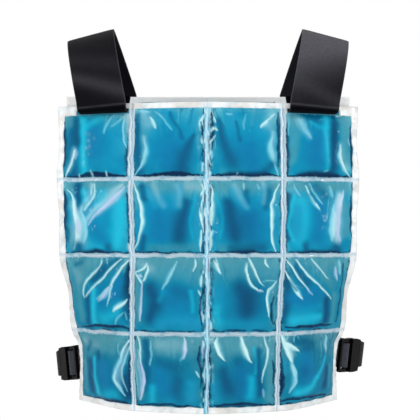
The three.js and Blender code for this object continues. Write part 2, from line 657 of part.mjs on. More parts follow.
function sideMeshes(side) {
  const { name, sign } = side;
  const frame = buckleFrame(side);
  const plug = named(`buckle_plug_${name}`, bucklePlug(), MATERIALS.buckle);
  const socket = named(`buckle_socket_${name}`, buckleSocket(), MATERIALS.buckle);
  const buckle = new THREE.Group();
  buckle.add(plug, socket);
  buckle.applyMatrix4(frame);
  return [
    named(`shoulder_strap_${name}`, shoulderStrap(sign), MATERIALS.strap),
    named(`side_strap_front_${name}`, frontWebbing(frame, side), MATERIALS.webbing),
    named(`side_strap_back_${name}`, backWebbing(frame, side), MATERIALS.webbing),
    buckle,
  ];
}

const vest = new THREE.Group();
vest.add(...panelMeshes(FRONT), ...panelMeshes(BACK), ...SIDES.flatMap(sideMeshes));

export default vest;
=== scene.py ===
# Cooling vest: the looks. Lengths are in millimetres, in the model's own frame, until a mesh is made.
import math
import bpy
import numpy as np
from mathutils import Matrix, Vector


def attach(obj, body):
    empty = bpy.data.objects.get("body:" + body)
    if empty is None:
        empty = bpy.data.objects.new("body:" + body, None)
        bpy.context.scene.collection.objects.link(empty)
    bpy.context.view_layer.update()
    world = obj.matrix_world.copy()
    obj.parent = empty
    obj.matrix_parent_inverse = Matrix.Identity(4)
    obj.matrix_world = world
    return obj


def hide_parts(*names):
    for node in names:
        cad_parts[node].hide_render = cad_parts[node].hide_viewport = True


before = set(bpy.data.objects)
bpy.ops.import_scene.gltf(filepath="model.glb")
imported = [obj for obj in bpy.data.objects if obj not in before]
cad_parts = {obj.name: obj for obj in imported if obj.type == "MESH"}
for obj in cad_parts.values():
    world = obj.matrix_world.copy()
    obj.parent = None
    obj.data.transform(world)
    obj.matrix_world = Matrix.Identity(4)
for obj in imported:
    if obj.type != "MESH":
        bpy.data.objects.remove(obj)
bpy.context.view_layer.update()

# Sizes that the solids have
HALF_WIDTH, HEIGHT, PITCH = 185.5, 377.0, 91.0
SIDE_WELD, TOP_WELD, BOTTOM_WELD, SLOT_BAND = 8.8, 7.2, 7.7, 7.2
FILM, SIDE_SCALLOP, BULGE_OUT, BULGE_IN, FULLNESS, SAG = 1.2, 2.4, 9.5, 6.5, 0.55, 0.3
BEND_START, BEND_END, LIFT_POWER = 0.38, 0.67, 1.5
ROWS = (0.246, 0.492, 0.744)
SLOT_INNER, SLOT_OUTER, SLOT_TOP, SLOT_FOOT = 96, 162.5, 7, 11.8
SHEET_STEPS = 24
# Where the fine film departs from the solids: its inner welds are narrower, most of all at the foot, and
# wander, the outer cells start higher, and the edge of each cell is tucked in under its welds
COLUMN_WELD, ROW_WELD, WELD_AT_TOP, WELD_NARROWING = 7.0, 5.0, 1.04, 0.3
OUTER_RAISE, WANDER_ACROSS, WANDER_DOWN, TUCK, SUNK = 1.6, 1.6, 1.2, 0.4, 0.15
# Share of the height: turn, setback, lift, left weld, middle weld, right weld
FRONT = dict(name="front", facing=-1, depth=100.0, top=-88.8, levels=[
    (0.0, 14, 0.048, -0.013, -1.01, -0.01, 0.99),
    (0.246, 13, 0.013, -0.005, -1.02, -0.02, 1.0),
    (0.492, 19.5, 0.0, 0.0, -1.0, -0.01, 0.99),
    (0.6, 31, 0.0, 0.001, -1.0, -0.01, 0.96),
    (0.744, 38.5, 0.005, 0.007, -1.0, -0.01, 0.93),
    (0.8, 46, 0.008, 0.011, -1.0, -0.01, 0.92),
    (1.0, 47, 0.021, 0.029, -0.98, -0.02, 0.91)])
BACK = dict(name="back", facing=1, depth=137.0, top=-71.4, levels=[
    (0.0, 4, 0.085, 0.0, -1.0, 0.0, 1.0),
    (0.246, 10, 0.037, 0.0, -1.0, 0.0, 1.0),
    (0.492, 24, 0.011, 0.0, -1.0, 0.0, 1.0),
    (0.744, 40, 0.0, 0.008, -1.0, 0.0, 1.0),
    (1.0, 47, 0.008, 0.027, -1.0, 0.0, 1.0)])


def level(levels, column, share):
    """A column of a table of levels on the same smooth curve as the solids."""
    table = np.array(levels, float)
    x, y = table[:, 0], table[:, column]
    share = np.clip(share, 0, 1)
    i = np.clip(np.searchsorted(x, share), 1, len(x) - 1)
    before, after = np.maximum(i - 2, 0), np.minimum(i + 1, len(x) - 1)
    span = x[i] - x[i - 1]
    slope_a = span * (y[i] - y[before]) / (x[i] - x[before])
    slope_b = span * (y[after] - y[i - 1]) / (x[after] - x[i - 1])
    f = (share - x[i - 1]) / span
    return (y[i - 1] + f * f * (3 - 2 * f) * (y[i] - y[i - 1])
            + f * (1 - f) ** 2 * slope_a + f * f * (f - 1) * slope_b)


def smooth(x, a, b):
    f = np.clip((x - a) / (b - a), 0, 1)
    return f * f * (3 - 2 * f)


def sheet_point(panel, s, t):
    """The middle of the film at s across and t down from the top edge."""
    s, t = np.broadcast_arrays(np.asarray(s, float), np.asarray(t, float))
    share = t / HEIGHT
    turn = np.radians(level(panel["levels"], 1, share))
    step = s / SHEET_STEPS
    across, back = np.zeros_like(s), np.zeros_like(s)
    for i in range(SHEET_STEPS):
        angle = turn * smooth(np.abs(step * (i + 0.5)) / HALF_WIDTH, BEND_START, BEND_END)
        across = across + step * np.cos(angle)
        back = back + np.abs(step) * np.sin(angle)
    setback = level(panel["levels"], 2, share) * HEIGHT
    lift = level(panel["levels"], 3, share) * HEIGHT * (np.abs(s) / HALF_WIDTH) ** LIFT_POWER
    y = panel["facing"] * (panel["depth"] - setback - back)
    return np.stack([across, y, panel["top"] - t + lift], -1)


def panel_point(panel, s, t, out):
    """The same place, moved away from the body by out."""
    across = sheet_point(panel, s + 0.5, t) - sheet_point(panel, s - 0.5, t)
    down = sheet_point(panel, s, t + 0.5) - sheet_point(panel, s, t - 0.5)
    away = np.cross(across, down)
    away *= panel["facing"] / np.linalg.norm(away, axis=-1, keepdims=True)
    return sheet_point(panel, s, t) + away * np.asarray(out)[..., None]


def column_lines(panel, t):
    """Both edges of every weld across a panel at t, left to right."""
    share = np.asarray(t, float) / HEIGHT
    ends = np.array([0, *ROWS, 1])
    row = np.clip(np.searchsorted(ends, share), 1, 4) - 1
    in_row = (share - ends[row]) / (ends[row + 1] - ends[row])
    edge = HALF_WIDTH - SIDE_SCALLOP * np.sin(np.pi * in_row) ** 2
    cells = np.full_like(edge, HALF_WIDTH - SIDE_WELD)
    lines = [-edge, -cells]
    for column in (4, 5, 6):
        middle = level(panel["levels"], column, share) * PITCH
        half = COLUMN_WELD / 2 * (WELD_AT_TOP - WELD_NARROWING * share)
        lines += [middle - half, middle + half]
    return np.stack([*lines, cells, edge], -1)


def row_lines(outer):
    """Both edges of every weld down a panel. The outer cells start below the band with the strap slots."""
    lines = [0, TOP_WELD + (SLOT_BAND - OUTER_RAISE if outer else 0)]
    for share in ROWS:
        lines += [share * HEIGHT - ROW_WELD / 2, share * HEIGHT + ROW_WELD / 2]
    return np.array([*lines, HEIGHT - BOTTOM_WELD, HEIGHT])


# What shows in each gel cell as it lies here: its folds and creases as relief, painted highlights of the
# lamps along them, painted shade beside the welds, and lighter and darker places in the gel. Below a cell's
# row and column, a line is the kind, its strength, and then u v w for each of its points: shares of the cell
# in hundredths from the top left corner, and half its breadth in millimetres.
MARKS = """
cell 1 1
dark 0.75 16 0 7.2 17 49 7.2 16 93 7.2
teal 0.9 8 -3 4.8 12 14 4.2
deep 0.7 22 11 3.6 24 49 3
navy 0.7 3 20 2.2 3 81 2.9
mid 0.8 47 33 10.8 50 58 10.8
cyan 0.95 30 3 3.8 33 41 3.6 33 93 3.6
cyan 0.6 57 6 2.4 39 20 3.6
light 0.6 84 34 10.8 82 83 9.6
glare 0.45 18 56 2.2 16 72 3.2 10 88 2.4
lilac 0.6 21 57 3.1 21 70 2.9
white 0.9 3 100 1 14 78 1.7 20 59 2.2
pale 0.7 82 -2 1 70 14 1.4 65 31 1.9
pale 0.55 95 -1 1.2 88 12 1.4 75 21 1.8
pale 0.9 93 5 1.1 92 27 1.1 95 46 1.1 100 58 1.1
clear 0.9 99 -1 3.6 101 35 2.2
navy 0.95 101 43 1.2 100 67 2.4 100 94 3.1
navy 0.95 10 101 1.2 26 98 2.9 48 96 3.6 69 97 3.6 93 99 2.9
lilac 0.9 26 94 1 26 100 1.1
white 0.8 45 90 1.1 46 100 1.3
white 0.8 68 91 1.1 69 99 1.3
navy 0.6 27 -2 2.4 95 -1 2.4
cell 1 2
light 0.8 22 31 14.4 37 13 12
teal 0.5 19 16 9.6 14 48 4.8
dark 0.75 5 11 2.2 5 48 3.1 8 95 5
mid 0.9 55 64 14.4 49 85 10.8
light 0.5 87 17 9.6 78 42 6
dark 0.75 85 41 1.2 75 64 5.4 67 96 8.4
dark 0.5 51 8 1 60 27 1.2 69 46 1.4
glare 0.35 12 8 4.2 20 24 5
glare 0.45 15 44 1.6 17 58 2.8 12 78 2.2
pale 0.8 8 5 2.6 21 7 1.9
white 0.85 22 15 1 27 22 2 31 31 1.7
pale 0.6 29 6 1.1 42 18 1.6 53 34 2.2
pale 0.95 15 46 1.2 18 60 2.6 14 75 2.6 8 89 1.4 1 100 1
light 0.5 95 64 4.8 94 90 4.8
white 0.95 100 8 1.2 98 17 1.9 95 22 2.4
white 0.9 94 23 1.2 96 32 1.6 101 39 1.2
navy 0.8 98 28 1.2 98 50 1.7 101 76 1.2
white 0.7 96 47 1.1 100 60 1.3 102 79 1.1
white 0.6 98 83 1 99 93 1.2
navy 0.95 8 99 2.2 35 98 3.1 67 97 3.6 94 101 1.9
cell 1 3
navy 0.85 2 8 2.2 4 35 2.6 4 61 1.9
light 0.7 30 17 8.4 27 38 6
teal 0.5 69 10 10.8 86 31 6
light 0.6 74 41 8.4 69 19 10.8
mid 0.9 54 64 12 60 81 10.8
dark 0.7 12 20 2.4 20 52 4.8 31 81 7.2
dark 0.5 37 23 1.1 43 49 1.6
glare 0.35 88 10 4.2 84 26 5
glare 0.5 90 36 1.6 87 54 3.6 91 76 2.2
pale 0.5 51 9 1 48 23 1.2 48 34 1.2
pale 0.7 24 10 1.8 31 11 1.4
white 0.9 4 8 1 8 22 1.1
white 0.95 1 36 1.1 5 31 2.2 10 33 1.1
white 0.85 -0 54 1.1 4 48 1.2 8 41 1
pale 0.85 3 66 2.2 4 76 1.9
white 0.7 1 76 1.7 5 84 2.2
white 0.8 2 100 1.2 4 93 1.2
white 0.92 72 30 1.6 79 24 2.3 84 17 1.2
white 0.8 84 18 0.8 92 9 1.2
pale 1 88 40 1.2 85 56 3.6 88 72 2.9 92 86 1.3 97 101 1
navy 0.7 97 7 1.9 97 48 1.8 96 85 1.7
dark 0.6 88 82 3 79 92 3.6
navy 0.95 3 102 1.2 26 98 3.4 57 98 3.6 82 98 3.1 95 102 1.2
lilac 0.8 39 93 0.8 39 100 0.8
cell 1 4
navy 0.9 1 14 1.2 1 56 2.9 1 94 3.6
teal 0.75 9 4 7.2 14 35 4.8 10 75 3.6
mid 1 40 42 10.8 45 74 10.8
dark 0.7 26 -0 4.8 41 6 4.8 52 2 2.4
glare 0.4 18 10 2.8 24 24 3.6 32 38 3.2
glare 0.5 80 48 2.2 84 68 3.6 91 86 2.8
pale 0.5 19 7 3 27 26 3.6 34 40 2.9
cyan 0.5 36 13 1.2 48 22 1.6 59 22 2.4
cyan 0.95 62 10 3.8 60 49 3.6 62 83 3.6
dark 0.95 72 4 4.1 70 41 4.3 69 87 4.3
deep 0.5 71 18 3.6 70 44 3.6
teal 0.9 87 0 7.2 88 27 6 88 73 4.1
white 0.85 80 49 1.4 78 70 2.9 85 85 2.4 97 100 1.1
navy 0.85 97 20 1.2 97 43 1.9 97 81 1.8
lilac 0.6 92 37 0.7 94 50 0.8
white 0.8 75 3 0.8 86 -3 1.3 97 -7 1.4
pale 0.6 4 7 0.8 4 35 0.7
navy 0.95 3 102 1.4 25 97 3.4 63 95 3.6 94 102 1.4
pale 0.6 54 90 1 60 88 1
cell 2 1
teal 0.95 10 6 4.2 52 5 4.8 96 6 3.6
teal 0.5 52 16 6 83 13 4.8
teal 0.7 13 67 3.1 13 91 3.6
navy 0.85 3 14 1.6 3 42 3.4 3 67 2.4
dark 0.95 24 6 3.8 25 26 3.6 25 40 2.4
light 0.8 59 75 10.8 57 47 7.2
mid 0.6 53 65 7.2 62 82 7.2
cyan 1 90 31 5.4 87 61 7.2 82 88 6
cyan 0.85 35 15 3.1 35 27 2.4
cyan 0.7 63 18 3.6 55 32 3.1
cyan 0.6 43 90 6 59 94 4.8
deep 0.6 3 28 2.6 4 50 3 5 78 2.6
glare 0.75 17 30 2.2 22 46 4.4 25 62 7 25 82 7.5
glare 0.65 90 6 1.4 80 16 3.4 68 28 4.4 52 39 2.8 36 56 2.4
glare 0.5 44 4 1.4 45 16 1.8 38 28 2.4 29 42 3
white 1 7 12 1.1 15 19 1.6 19 35 2.2 22 49 3.1 25 62 4.8 24 76 4.8 20 86 3.1 15 94 1.1
lilac 0.7 25 52 3.6 26 72 5.4
pale 1 32 36 1.9 31 45 2.6 35 59 4.3 37 73 3.6 32 86 1.9
white 0.85 49 3 1.1 52 15 1.3 44 29 1.8 36 40 2.8
white 0.6 48 4 0.8 45 19 1.1
lilac 0.95 95 9 1.9 80 24 4.1 68 36 3.6 52 48 2.4 41 61 1.7
pale 0.5 95 13 1.2 84 27 2.4
navy 0.95 98 17 2.2 100 41 2.4 101 96 1.8
dark 0.75 24 90 5 24 97 4
navy 0.95 11 102 1.2 30 99 2.4 51 96 2.6 72 100 2.2 99 100 1.8
dark 0.6 70 90 2.6 70 94 2.4
white 0.8 98 86 1 100 96 1.1
cell 2 2
teal 0.95 12 9 6 45 9 8.4 91 11 8.4
clear 0.5 78 7 4.8 93 10 4.8
dark 0.85 12 9 2.9 17 26 3.6
light 0.6 6 48 3.6 3 82 3.6
mid 1 37 44 10.8 36 77 12
pale 0.4 20 13 2.9 26 28 2.6
light 0.8 20 13 3.6 29 35 3.6
light 0.7 65 11 3.6 60 34 3.6
dark 0.9 74 31 4.8 66 60 7.8 64 82 7.2
light 0.6 90 27 4.8 90 82 4.8
cyan 0.35 91 16 1 84 36 1 80 58 1.1 83 78 1
glare 0.32 28 6 2.6 34 20 3.2 43 36 3.4
glare 0.3 62 9 3.2 65 20 3.4 64 34 3.4
teal 0.6 22 92 4.8 58 92 4.8 84 91 4.8
white 1 1 5 1.1 7 19 1.4 11 37 2.3 12 55 2.6 10 74 2 3 89 1.3 -1 97 1.1
dark 0.7 14 79 2.4 10 95 2.9
white 0.9 97 6 1.2 99 14 1.4 95 22 1.1
white 1 97 27 1.2 95 40 2.2 97 53 2.6 98 66 1.7
white 0.95 96 69 1.7 95 82 1.9 94 96 1.4
navy 0.7 2 100 1.1 22 98 1.2 51 100 1.2 87 100 1.1
cell 2 3
teal 0.95 9 10 8.4 50 9 8.4 92 9 4.8
light 0.6 10 62 4.8 9 85 4.8
light 0.7 33 15 3.4 44 37 3.6
light 0.7 75 13 2.9 69 33 3.4
mid 1 57 48 10.8 57 80 10.8
dark 0.9 26 31 4.8 31 55 7.8 37 80 7.2
dark 0.6 52 16 3.1 54 31 2.4
dark 0.35 50 58 15
dark 0.7 82 17 4.1 79 37 2.9
cyan 0.35 9 19 1 16 37 1 19 58 1.1 15 78 1
glare 0.32 36 8 2.6 42 22 3.2 52 38 3.2
glare 0.32 74 5 2 77 18 2.6 76 32 2.6
white 0.7 48 5 1.2 48 14 1
pale 0.7 66 5 1 69 13 1.1
teal 0.6 16 92 4.8 57 91 4.8
dark 0.6 31 93 3.6 74 92 6
white 1 1 7 1.7 4 18 1.7 5 32 2.8 3 47 3.1 2 62 2.2
white 0.95 0 67 1.7 2 82 1.6 1 96 1.2
white 1 97 5 1.1 91 19 1.4 88 38 2.2 86 57 2.6 87 77 2.2 92 97 1.1
light 0.5 94 34 1.9 93 75 1.9
navy 0.9 5 100 1.1 29 99 1.6 51 97 2.3 71 100 1.7 92 102 1.1
cell 2 4
teal 0.95 7 7 3.6 44 8 7.2 87 7 6
dark 0.5 44 10 6 56 21 4.8
navy 0.9 -1 9 1.8 1 27 2.6 0 75 2.4 -1 95 1.4
cyan 0.8 20 31 6 24 57 7.2 17 83 7.2
light 0.7 14 43 7.2 13 75 7.2
mid 0.8 49 33 4.8 47 57 7.2 44 79 6
deep 0.55 3 20 2.2 3 50 2.2 3 80 2.2
glare 0.85 79 20 2.8 75 36 5 73 55 6.6 74 74 5.8 76 86 3
pale 0.7 10 7 1 19 21 1.4
cyan 0.8 11 21 1.1 6 41 1.4 4 61 1.4 9 82 1.2
white 0.95 28 7 0.8 33 20 1.3 40 30 2.2 48 39 1.8
dark 0.5 33 18 0.7 41 29 0.8
pale 0.8 33 3 0.8 39 17 1.1 52 32 1.1
pale 0.7 63 8 1.9 67 23 2.6
pale 1 69 33 3.6 67 56 4.8 66 82 3.6
white 0.55 69 43 2.9 68 76 2.9
lilac 1 86 13 1.6 80 28 3.4 76 45 3.8 75 67 3.6 80 84 1.7
white 0.6 84 20 1.2 78 35 1.9
teal 0.8 88 33 2.9 88 74 3.6
navy 0.9 97 20 1.2 97 42 1.8 97 70 1.7
dark 0.8 74 91 5 78 96 4
dark 0.7 27 87 3.1 29 94 2.6
navy 0.95 3 100 1.2 29 99 2.6 64 98 2.9 92 101 1.3
cell 3 1
teal 1 17 5 7.2 36 9 9.6 56 7 7.2
teal 0.9 24 21 7.2 19 43 6 20 83 4.8
clear 0.45 15 17 2.9 20 28 3.6
dark 0.45 26 7 2.4 16 9 1.8
dark 0.8 48 28 4.1 62 15 4.8
dark 0.55 75 10 4.8 84 5 3.6
dark 0.9 36 54 3.1 34 88 3.6
mid 1 85 29 4.8 81 51 6
mid 0.8 61 43 6 57 63 6
cyan 1 48 43 2.9 45 64 3.8 44 88 4.1
cyan 0.7 64 82 8.4 84 73 4.8 90 62 3.6
navy 0.95 98 9 3.1 98 36 3.8 100 63 2.9 101 86 2.4
navy 0.7 3 31 1 3 72 1.1
deep 0.6 95 24 2.4 94 52 3.6 95 86 3
white 0.95 57 1 1 57 10 1.2 47 20 1.3 35 29 1.7 29 40 1.6 28 49 1.7 30 54 1.3
white 1 88 3 1.1 75 14 1.3 62 26 1.4 47 38 1.4 32 53 1.7
white 1 100 3 1 89 14 1.3 79 28 1.7 74 37 2.2
lilac 0.9 75 36 1.4 69 46 3.1 61 53 2.9 53 58 1.2
white 0.8 76 37 1.1 73 50 1.4 70 65 0.8
white 0.7 72 39 1.1 51 56 1.1
white 1 79 72 1.2 86 66 3 92 61 2.6 96 56 1
pale 0.75 92 74 0.8 83 83 1.1 80 91 1
pale 0.6 94 73 0.8 96 84 1
light 0.6 92 87 3.6
white 0.5 65 1 0.8 68 9 0.8
navy 0.95 16 96 1.2 40 93 1.8 61 93 2.6 78 93 2.2 90 94 2.2 100 96 1.8
cell 3 2
teal 1 21 5 8.4 58 5 10.8 90 9 8.4
teal 0.75 33 23 9.6 77 27 9.6
clear 0.45 11 8 3.6 24 16 3.6
teal 0.8 4 36 3.1 4 84 3.6
mid 0.7 62 49 14.4 65 67 12
dark 0.95 23 40 6 29 60 7.8 23 81 6
light 0.9 39 89 7.2 62 84 9.6 88 90 7.2
light 0.7 42 45 2.4 36 56 2.4
dark 0.35 58 43 6 74 49 6
cyan 0.6 80 45 1.2 83 72 1.7
white 0.95 0 20 1.1 7 18 1.2 14 15 1.4 18 7 0.8
white 0.95 19 10 1 20 17 1.2 16 25 1.4 12 31 1.7
white 0.95 1 21 1.1 7 28 1.6 10 35 1.7
lilac 0.95 7 23 1.9 11 25 2.2
lilac 0.95 10 35 1.6 10 51 1.4 9 70 1.7 8 85 1.4
pale 0.95 61 5 1.2 54 17 2 48 27 2 43 36 1.6 40 43 1.2
white 0.9 86 3 1.2 86 11 1.2 83 19 1
white 0.9 96 24 1.2 94 31 1.8 94 39 1.3
white 0.85 89 44 1 94 51 1.2
lilac 0.85 93 55 1.2 94 69 2 96 86 1.3
navy 0.8 97 40 1.2 93 63 1.2 95 91 1.2
navy 0.55 9 99 1.1 43 99 1.1 80 99 1.1
cell 3 3
teal 1 16 5 9.6 50 5 9.6 83 8 9.6
teal 0.8 36 23 10.8 81 23 8.4
light 0.7 11 43 7.2 13 59 7.2
dark 0.9 44 40 7.2 56 56 10.8 54 74 9.6
deep 0.5 55 52 7.2 55 67 7.2
dark 0.3 58 45 20
cyan 0.7 10 67 4.8 13 86 6
light 0.6 33 90 7.2 73 90 7.2
teal 0.8 93 43 2.9 93 81 2.9
white 0.95 6 3 1.1 10 12 1.8 15 22 1.4
white 0.7 9 1 0.7 12 11 0.8
white 1 53 7 1.1 53 19 1.3 57 31 1.4 63 39 1.7 69 43 1.8
lilac 0.9 68 43 1.8 77 45 1.1
white 1 55 1 1.2 61 12 1.3 66 23 1.2 71 31 1.1 75 35 0.8
white 0.6 69 31 0.7 78 39 0.7
white 0.95 79 2 1.2 80 8 1.2 84 14 1.1
white 0.95 95 31 1.1 91 39 1.3 86 45 2.2 85 54 1.7 85 64 1.9 87 79 1
pale 0.7 76 32 0.6 85 30 0.7 95 30 0.8
navy 0.85 95 51 1 91 64 1.2 91 79 1.7 95 90 1.2
white 0.6 -2 5 1.2 -0 23 1.4 -2 56 1.2
navy 0.75 2 96 1.1 16 98 1.1
navy 0.75 24 96 1.1 54 97 1.2
navy 0.75 64 97 1.1 85 98 1.2
cell 3 4
teal 0.95 45 5 7.2 69 4 7.2 85 4 4.8
teal 0.8 54 17 7.2 70 35 6
teal 0.95 77 50 4.1 77 89 3.6
navy 1 -2 5 2.9 -2 29 3.4 -3 56 3.8 -4 84 3.1
dark 0.7 15 16 4.8 31 34 4.8
deep 0.75 4 24 2.6 5 54 3.6 3 86 3
mid 1 12 54 7.2 32 60 9.6 42 51 7.2
mid 0.6 24 43 3.6 45 46 3.6
cyan 0.9 16 84 6 37 82 7.2 54 80 4.1
light 0.6 21 73 6 55 64 3.6
dark 1 64 57 3.6 66 86 3.8
pale 0.8 82 4 3.1 84 21 2.9
lilac 0.9 76 12 1.8 77 22 2.3 79 29 1.4
white 0.95 -1 16 0.8 6 27 1.4 12 39 2.4 18 49 3.4 24 56 1.7
dark 0.6 6 31 0.6 15 44 0.7
white 1 1 3 1.1 9 12 1.1 18 24 1.2 26 34 1.2 33 43 1.2
lilac 0.8 31 41 1.2 39 49 1
white 1 15 4 1.2 24 14 1.2 37 27 1.3 52 38 1.4 63 47 1.4 71 55 1.3
white 0.85 38 2 1.1 45 10 1 54 19 0.8 64 27 0.7
white 0.8 28 2 1.4
navy 0.8 90 8 0.8 89 50 1.1 87 89 1.1
navy 0.95 6 93 1.6 26 94 2.3 48 93 2.2 81 92 1.2
cell 4 1
teal 1 19 6 7.2 53 7 8.4 87 5 7.2
clear 0.5 17 11 3.6 43 17 3.6
teal 0.8 28 24 6 73 21 6
dark 0.7 45 29 3.1 48 35 2.4
dark 0.35 58 55 15
dark 0.5 28 12 2.2 23 25 2.2
mid 1 59 49 8.4 64 74 8.4
cyan 0.95 38 36 1.7 41 62 2.4 44 89 3.1
cyan 0.6 59 90 6 78 86 4.8
teal 0.8 14 45 2.4 16 88 3.1
dark 0.95 28 43 3.6 30 86 3.8
navy 0.95 102 12 1.4 100 45 3.1 98 85 3.6
dark 0.8 92 60 2.6 94 86 3.6
light 0.5 92 34 2.2 93 52 2.4
deep 0.6 96 46 2.6 93 72 4.2 95 90 3.6
lilac 0.5 97 14 1.4 89 36 3 84 55 4 86 74 3.4 91 86 1.4
white 0.6 100 14 0.8 94 34 1 89 49 1 90 64 1 95 80 0.9
pale 1 101 4 1.1 93 18 1.3 87 35 1.9 80 50 2.3 79 62 2.4 85 72 2.6 88 79 1.6 92 87 1
white 0.8 101 4 0.8 93 18 1 88 33 1.1
white 0.55 80 51 1.2 80 63 1.3 85 73 1.6
pale 0.5 83 12 0.8 86 29 0.8
navy 0.95 17 101 1.1 38 99 1.7 67 97 2.4 89 97 2.6 98 101 1.7
cell 4 2
teal 1 29 8 9.6 51 12 10.8 87 7 9.6
clear 0.35 36 11 6 58 13 6
teal 0.9 4 11 3.6 4 47 3.6 3 83 4.1
dark 0.75 15 8 2.6 18 32 3.1 18 75 2.9
mid 0.9 33 49 7.2 40 72 10.8
dark 0.5 36 35 4.8 59 43 7.2
dark 0.6 62 63 6 59 84 6
light 0.8 80 66 6 80 90 6
cyan 0.7 25 72 3.1 24 92 3.6
light 0.6 50 91 7.2
pale 0.7 22 7 1.1 24 24 1.3 22 41 1.3
lilac 0.5 5 20 1.4 7 40 2.4 10 58 3.4 10 76 3.4 8 90 1.6
pale 0.6 0 8 0.9 2 40 1 4 70 1.1 6 90 0.9
white 0.9 5 -0 1 8 14 1.1 8 27 1.1 10 40 1.3
lilac 0.95 10 38 1.3 13 54 1.9 13 68 2.3 10 82 2 7 90 1.2
lilac 1 70 1 1.6 71 12 2.6 71 20 2.8 68 31 1.4
white 0.6 70 3 0.8 71 19 1.1
pale 0.45 64 34 1.2 71 27 1.2
lilac 0.8 97 7 1.6 97 20 1.9 96 31 1.2
lilac 0.8 93 37 1.7 95 44 1.2
white 0.8 87 48 1 93 56 1.2
navy 0.85 93 13 1.4 91 31 1.9 95 51 1.4 94 70 1.2
navy 0.8 2 100 1 20 97 1.2 42 96 1.8 65 97 1.7 86 99 1
cell 4 3
teal 1 18 6 8.4 46 9 9.6 77 9 8.4
teal 0.7 33 20 7.2 62 23 6
mid 1 51 49 8.4 53 74 9.6
dark 0.8 21 48 4.8 30 74 6.6
dark 0.45 43 34 6
dark 0.3 48 62 16
light 0.7 6 66 4.8 9 87 6
cyan 0.7 64 60 4.1 63 83 4.8
cyan 0.8 68 18 1.3 72 33 1.6 70 51 1.4
teal 0.9 92 11 4.1 93 54 3.6 91 90 4.8
dark 0.8 75 21 2.6 75 54 2.6 77 82 2.4
white 1 13 -1 1.4 10 10 2.8 16 23 3 23 33 1.4
teal 0.8 13 1 0.5 13 6 0.6
white 1 47 -1 2.4 50 12 3.2 56 25 3.2 63 36 1.4
white 0.85 -3 0 1 -0 10 1.3 -6 18 1.2
white 0.85 2 25 1.2 -5 34 1.2
navy 0.9 1 34 1.8 -2 45 2.6 -3 65 1.9
lilac 0.6 0 39 1.2 -3 56 1.2
white 0.95 81 -2 0.8 85 11 0.8 87 21 1.1 87 35 1 84 47 1.1 80 57 1.3 80 65 0.8
lilac 0.55 81 75 1.9 84 87 1.3
pale 0.6 90 1 0.8 90 7 0.7
navy 0.8 95 35 1 97 50 1.1 97 69 1
navy 0.9 6 97 1.2 36 95 2.2 63 95 2.2 88 99 1.2
cell 4 4
teal 0.8 15 0 3.6 31 2 4.8 57 -0 4.8
dark 0.7 22 8 6 44 13 7.2 33 21 4.8
mid 1 33 36 8.4 37 59 9.6
dark 0.4 31 53 6
navy 1 -2 11 1.8 -0 36 3.1 2 62 4.8 0 85 5.3
light 0.5 4 33 1.9 7 51 2.2
cyan 0.9 54 65 2.4 43 78 4.3 22 83 4.8
cyan 0.8 73 35 1.1 66 50 1.3 57 64 1.8
dark 1 75 53 2.9 73 80 3.4
teal 0.8 83 49 1.4 82 83 1.7
pale 0.9 74 3 3.1 74 21 2.6 75 31 1.4
lilac 0.6 72 12 1.4 73 24 1.4
white 1 1 -4 1.4 5 7 3 10 22 4.2 15 38 3
pale 1 14 37 3 18 55 2.8 17 69 3 11 83 1.3
white 0.6 14 41 1.1 17 59 1.2
white 0.95 6 10 2.2 14 15 3.4 23 23 1.7
pale 0.7 11 -1 0.8 9 6 1
pale 0.7 19 -1 0.8 18 9 1
pale 0.5 23 -1 0.7 25 6 0.7
navy 0.95 3 94 2.4 18 92 2.2 44 92 1.8 82 95 1.2
"""
# sRGB colour, relief in millimetres, and whether its edge is crisp
# White, pale, lilac and glare marks are painted highlights, the lamps' reflections on the film's folds; navy
# marks are painted shade, mostly beside the welds
KINDS = dict(
    mid=((4, 130, 180), 0.0, False), light=((38, 158, 200), 0.0, False),
    dark=((0, 90, 132), -0.3, False), deep=((0, 76, 114), -0.3, False), navy=((0, 54, 88), -0.5, True),
    cyan=((44, 196, 228), 0.3, False), teal=((84, 160, 178), 0.0, False),
    clear=((182, 210, 220), 0.2, False), glare=((198, 232, 246), 0.4, False),
    pale=((146, 220, 240), 0.7, True), lilac=((192, 214, 244), 0.7, True), white=((210, 252, 255), 0.9, True))
BASE = (8, 142, 186)
# How light the gel is in each row of cells, and from where the painted shade of the foot rim shows in all but
# the first
ROW_LIGHT, RIM_FROM = (0.99, 1.01, 0.94, 0.88), (-0.9, -0.1, -0.6)
# What a tint loses because the surface also shines
TINT_SHARE, TINT_LOSS, TINT_LEAST = 0.72, 0.008, 0.0008


def linear(colour):
    """An sRGB colour from 0 to 255 as the light it gives back, from 0 to 1."""
    c = np.asarray(colour, float) / 255
    return np.where(c <= 0.04045, c / 12.92, ((c + 0.055) / 1.055) ** 2.4)


def rounded(points):
    """A mark with its bends rounded into one smooth curve through its points."""
    if len(points) < 3:
        return points
    knots = np.vstack([2 * points[0] - points[1], points, 2 * points[-1] - points[-2]])
    path = []
    for a, b, c, d in zip(knots, knots[1:], knots[2:], knots[3:]):
        for f in (0, 0.33, 0.67):
            bend = (2 * a - 5 * b + 4 * c - d) * f ** 2 + (3 * b - a - 3 * c + d) * f ** 3
            path.append(0.5 * (2 * b + (c - a) * f + bend))
    return np.array([*path, points[-1]])


def marks():
    """For each cell, the kind, the strength and the points of each mark."""
    cells = {}
    for line in MARKS.strip().split("\n"):
        first, *numbers = line.split()
        if first == "cell":
            cell = cells[int(numbers[0]) - 1, int(numbers[1]) - 1] = []
        else:
            points = np.array(numbers[1:], float).reshape(-1, 3)
            points[:, :2] /= 100
            cell.append((first, float(numbers[0]), rounded(points)))
    return cells


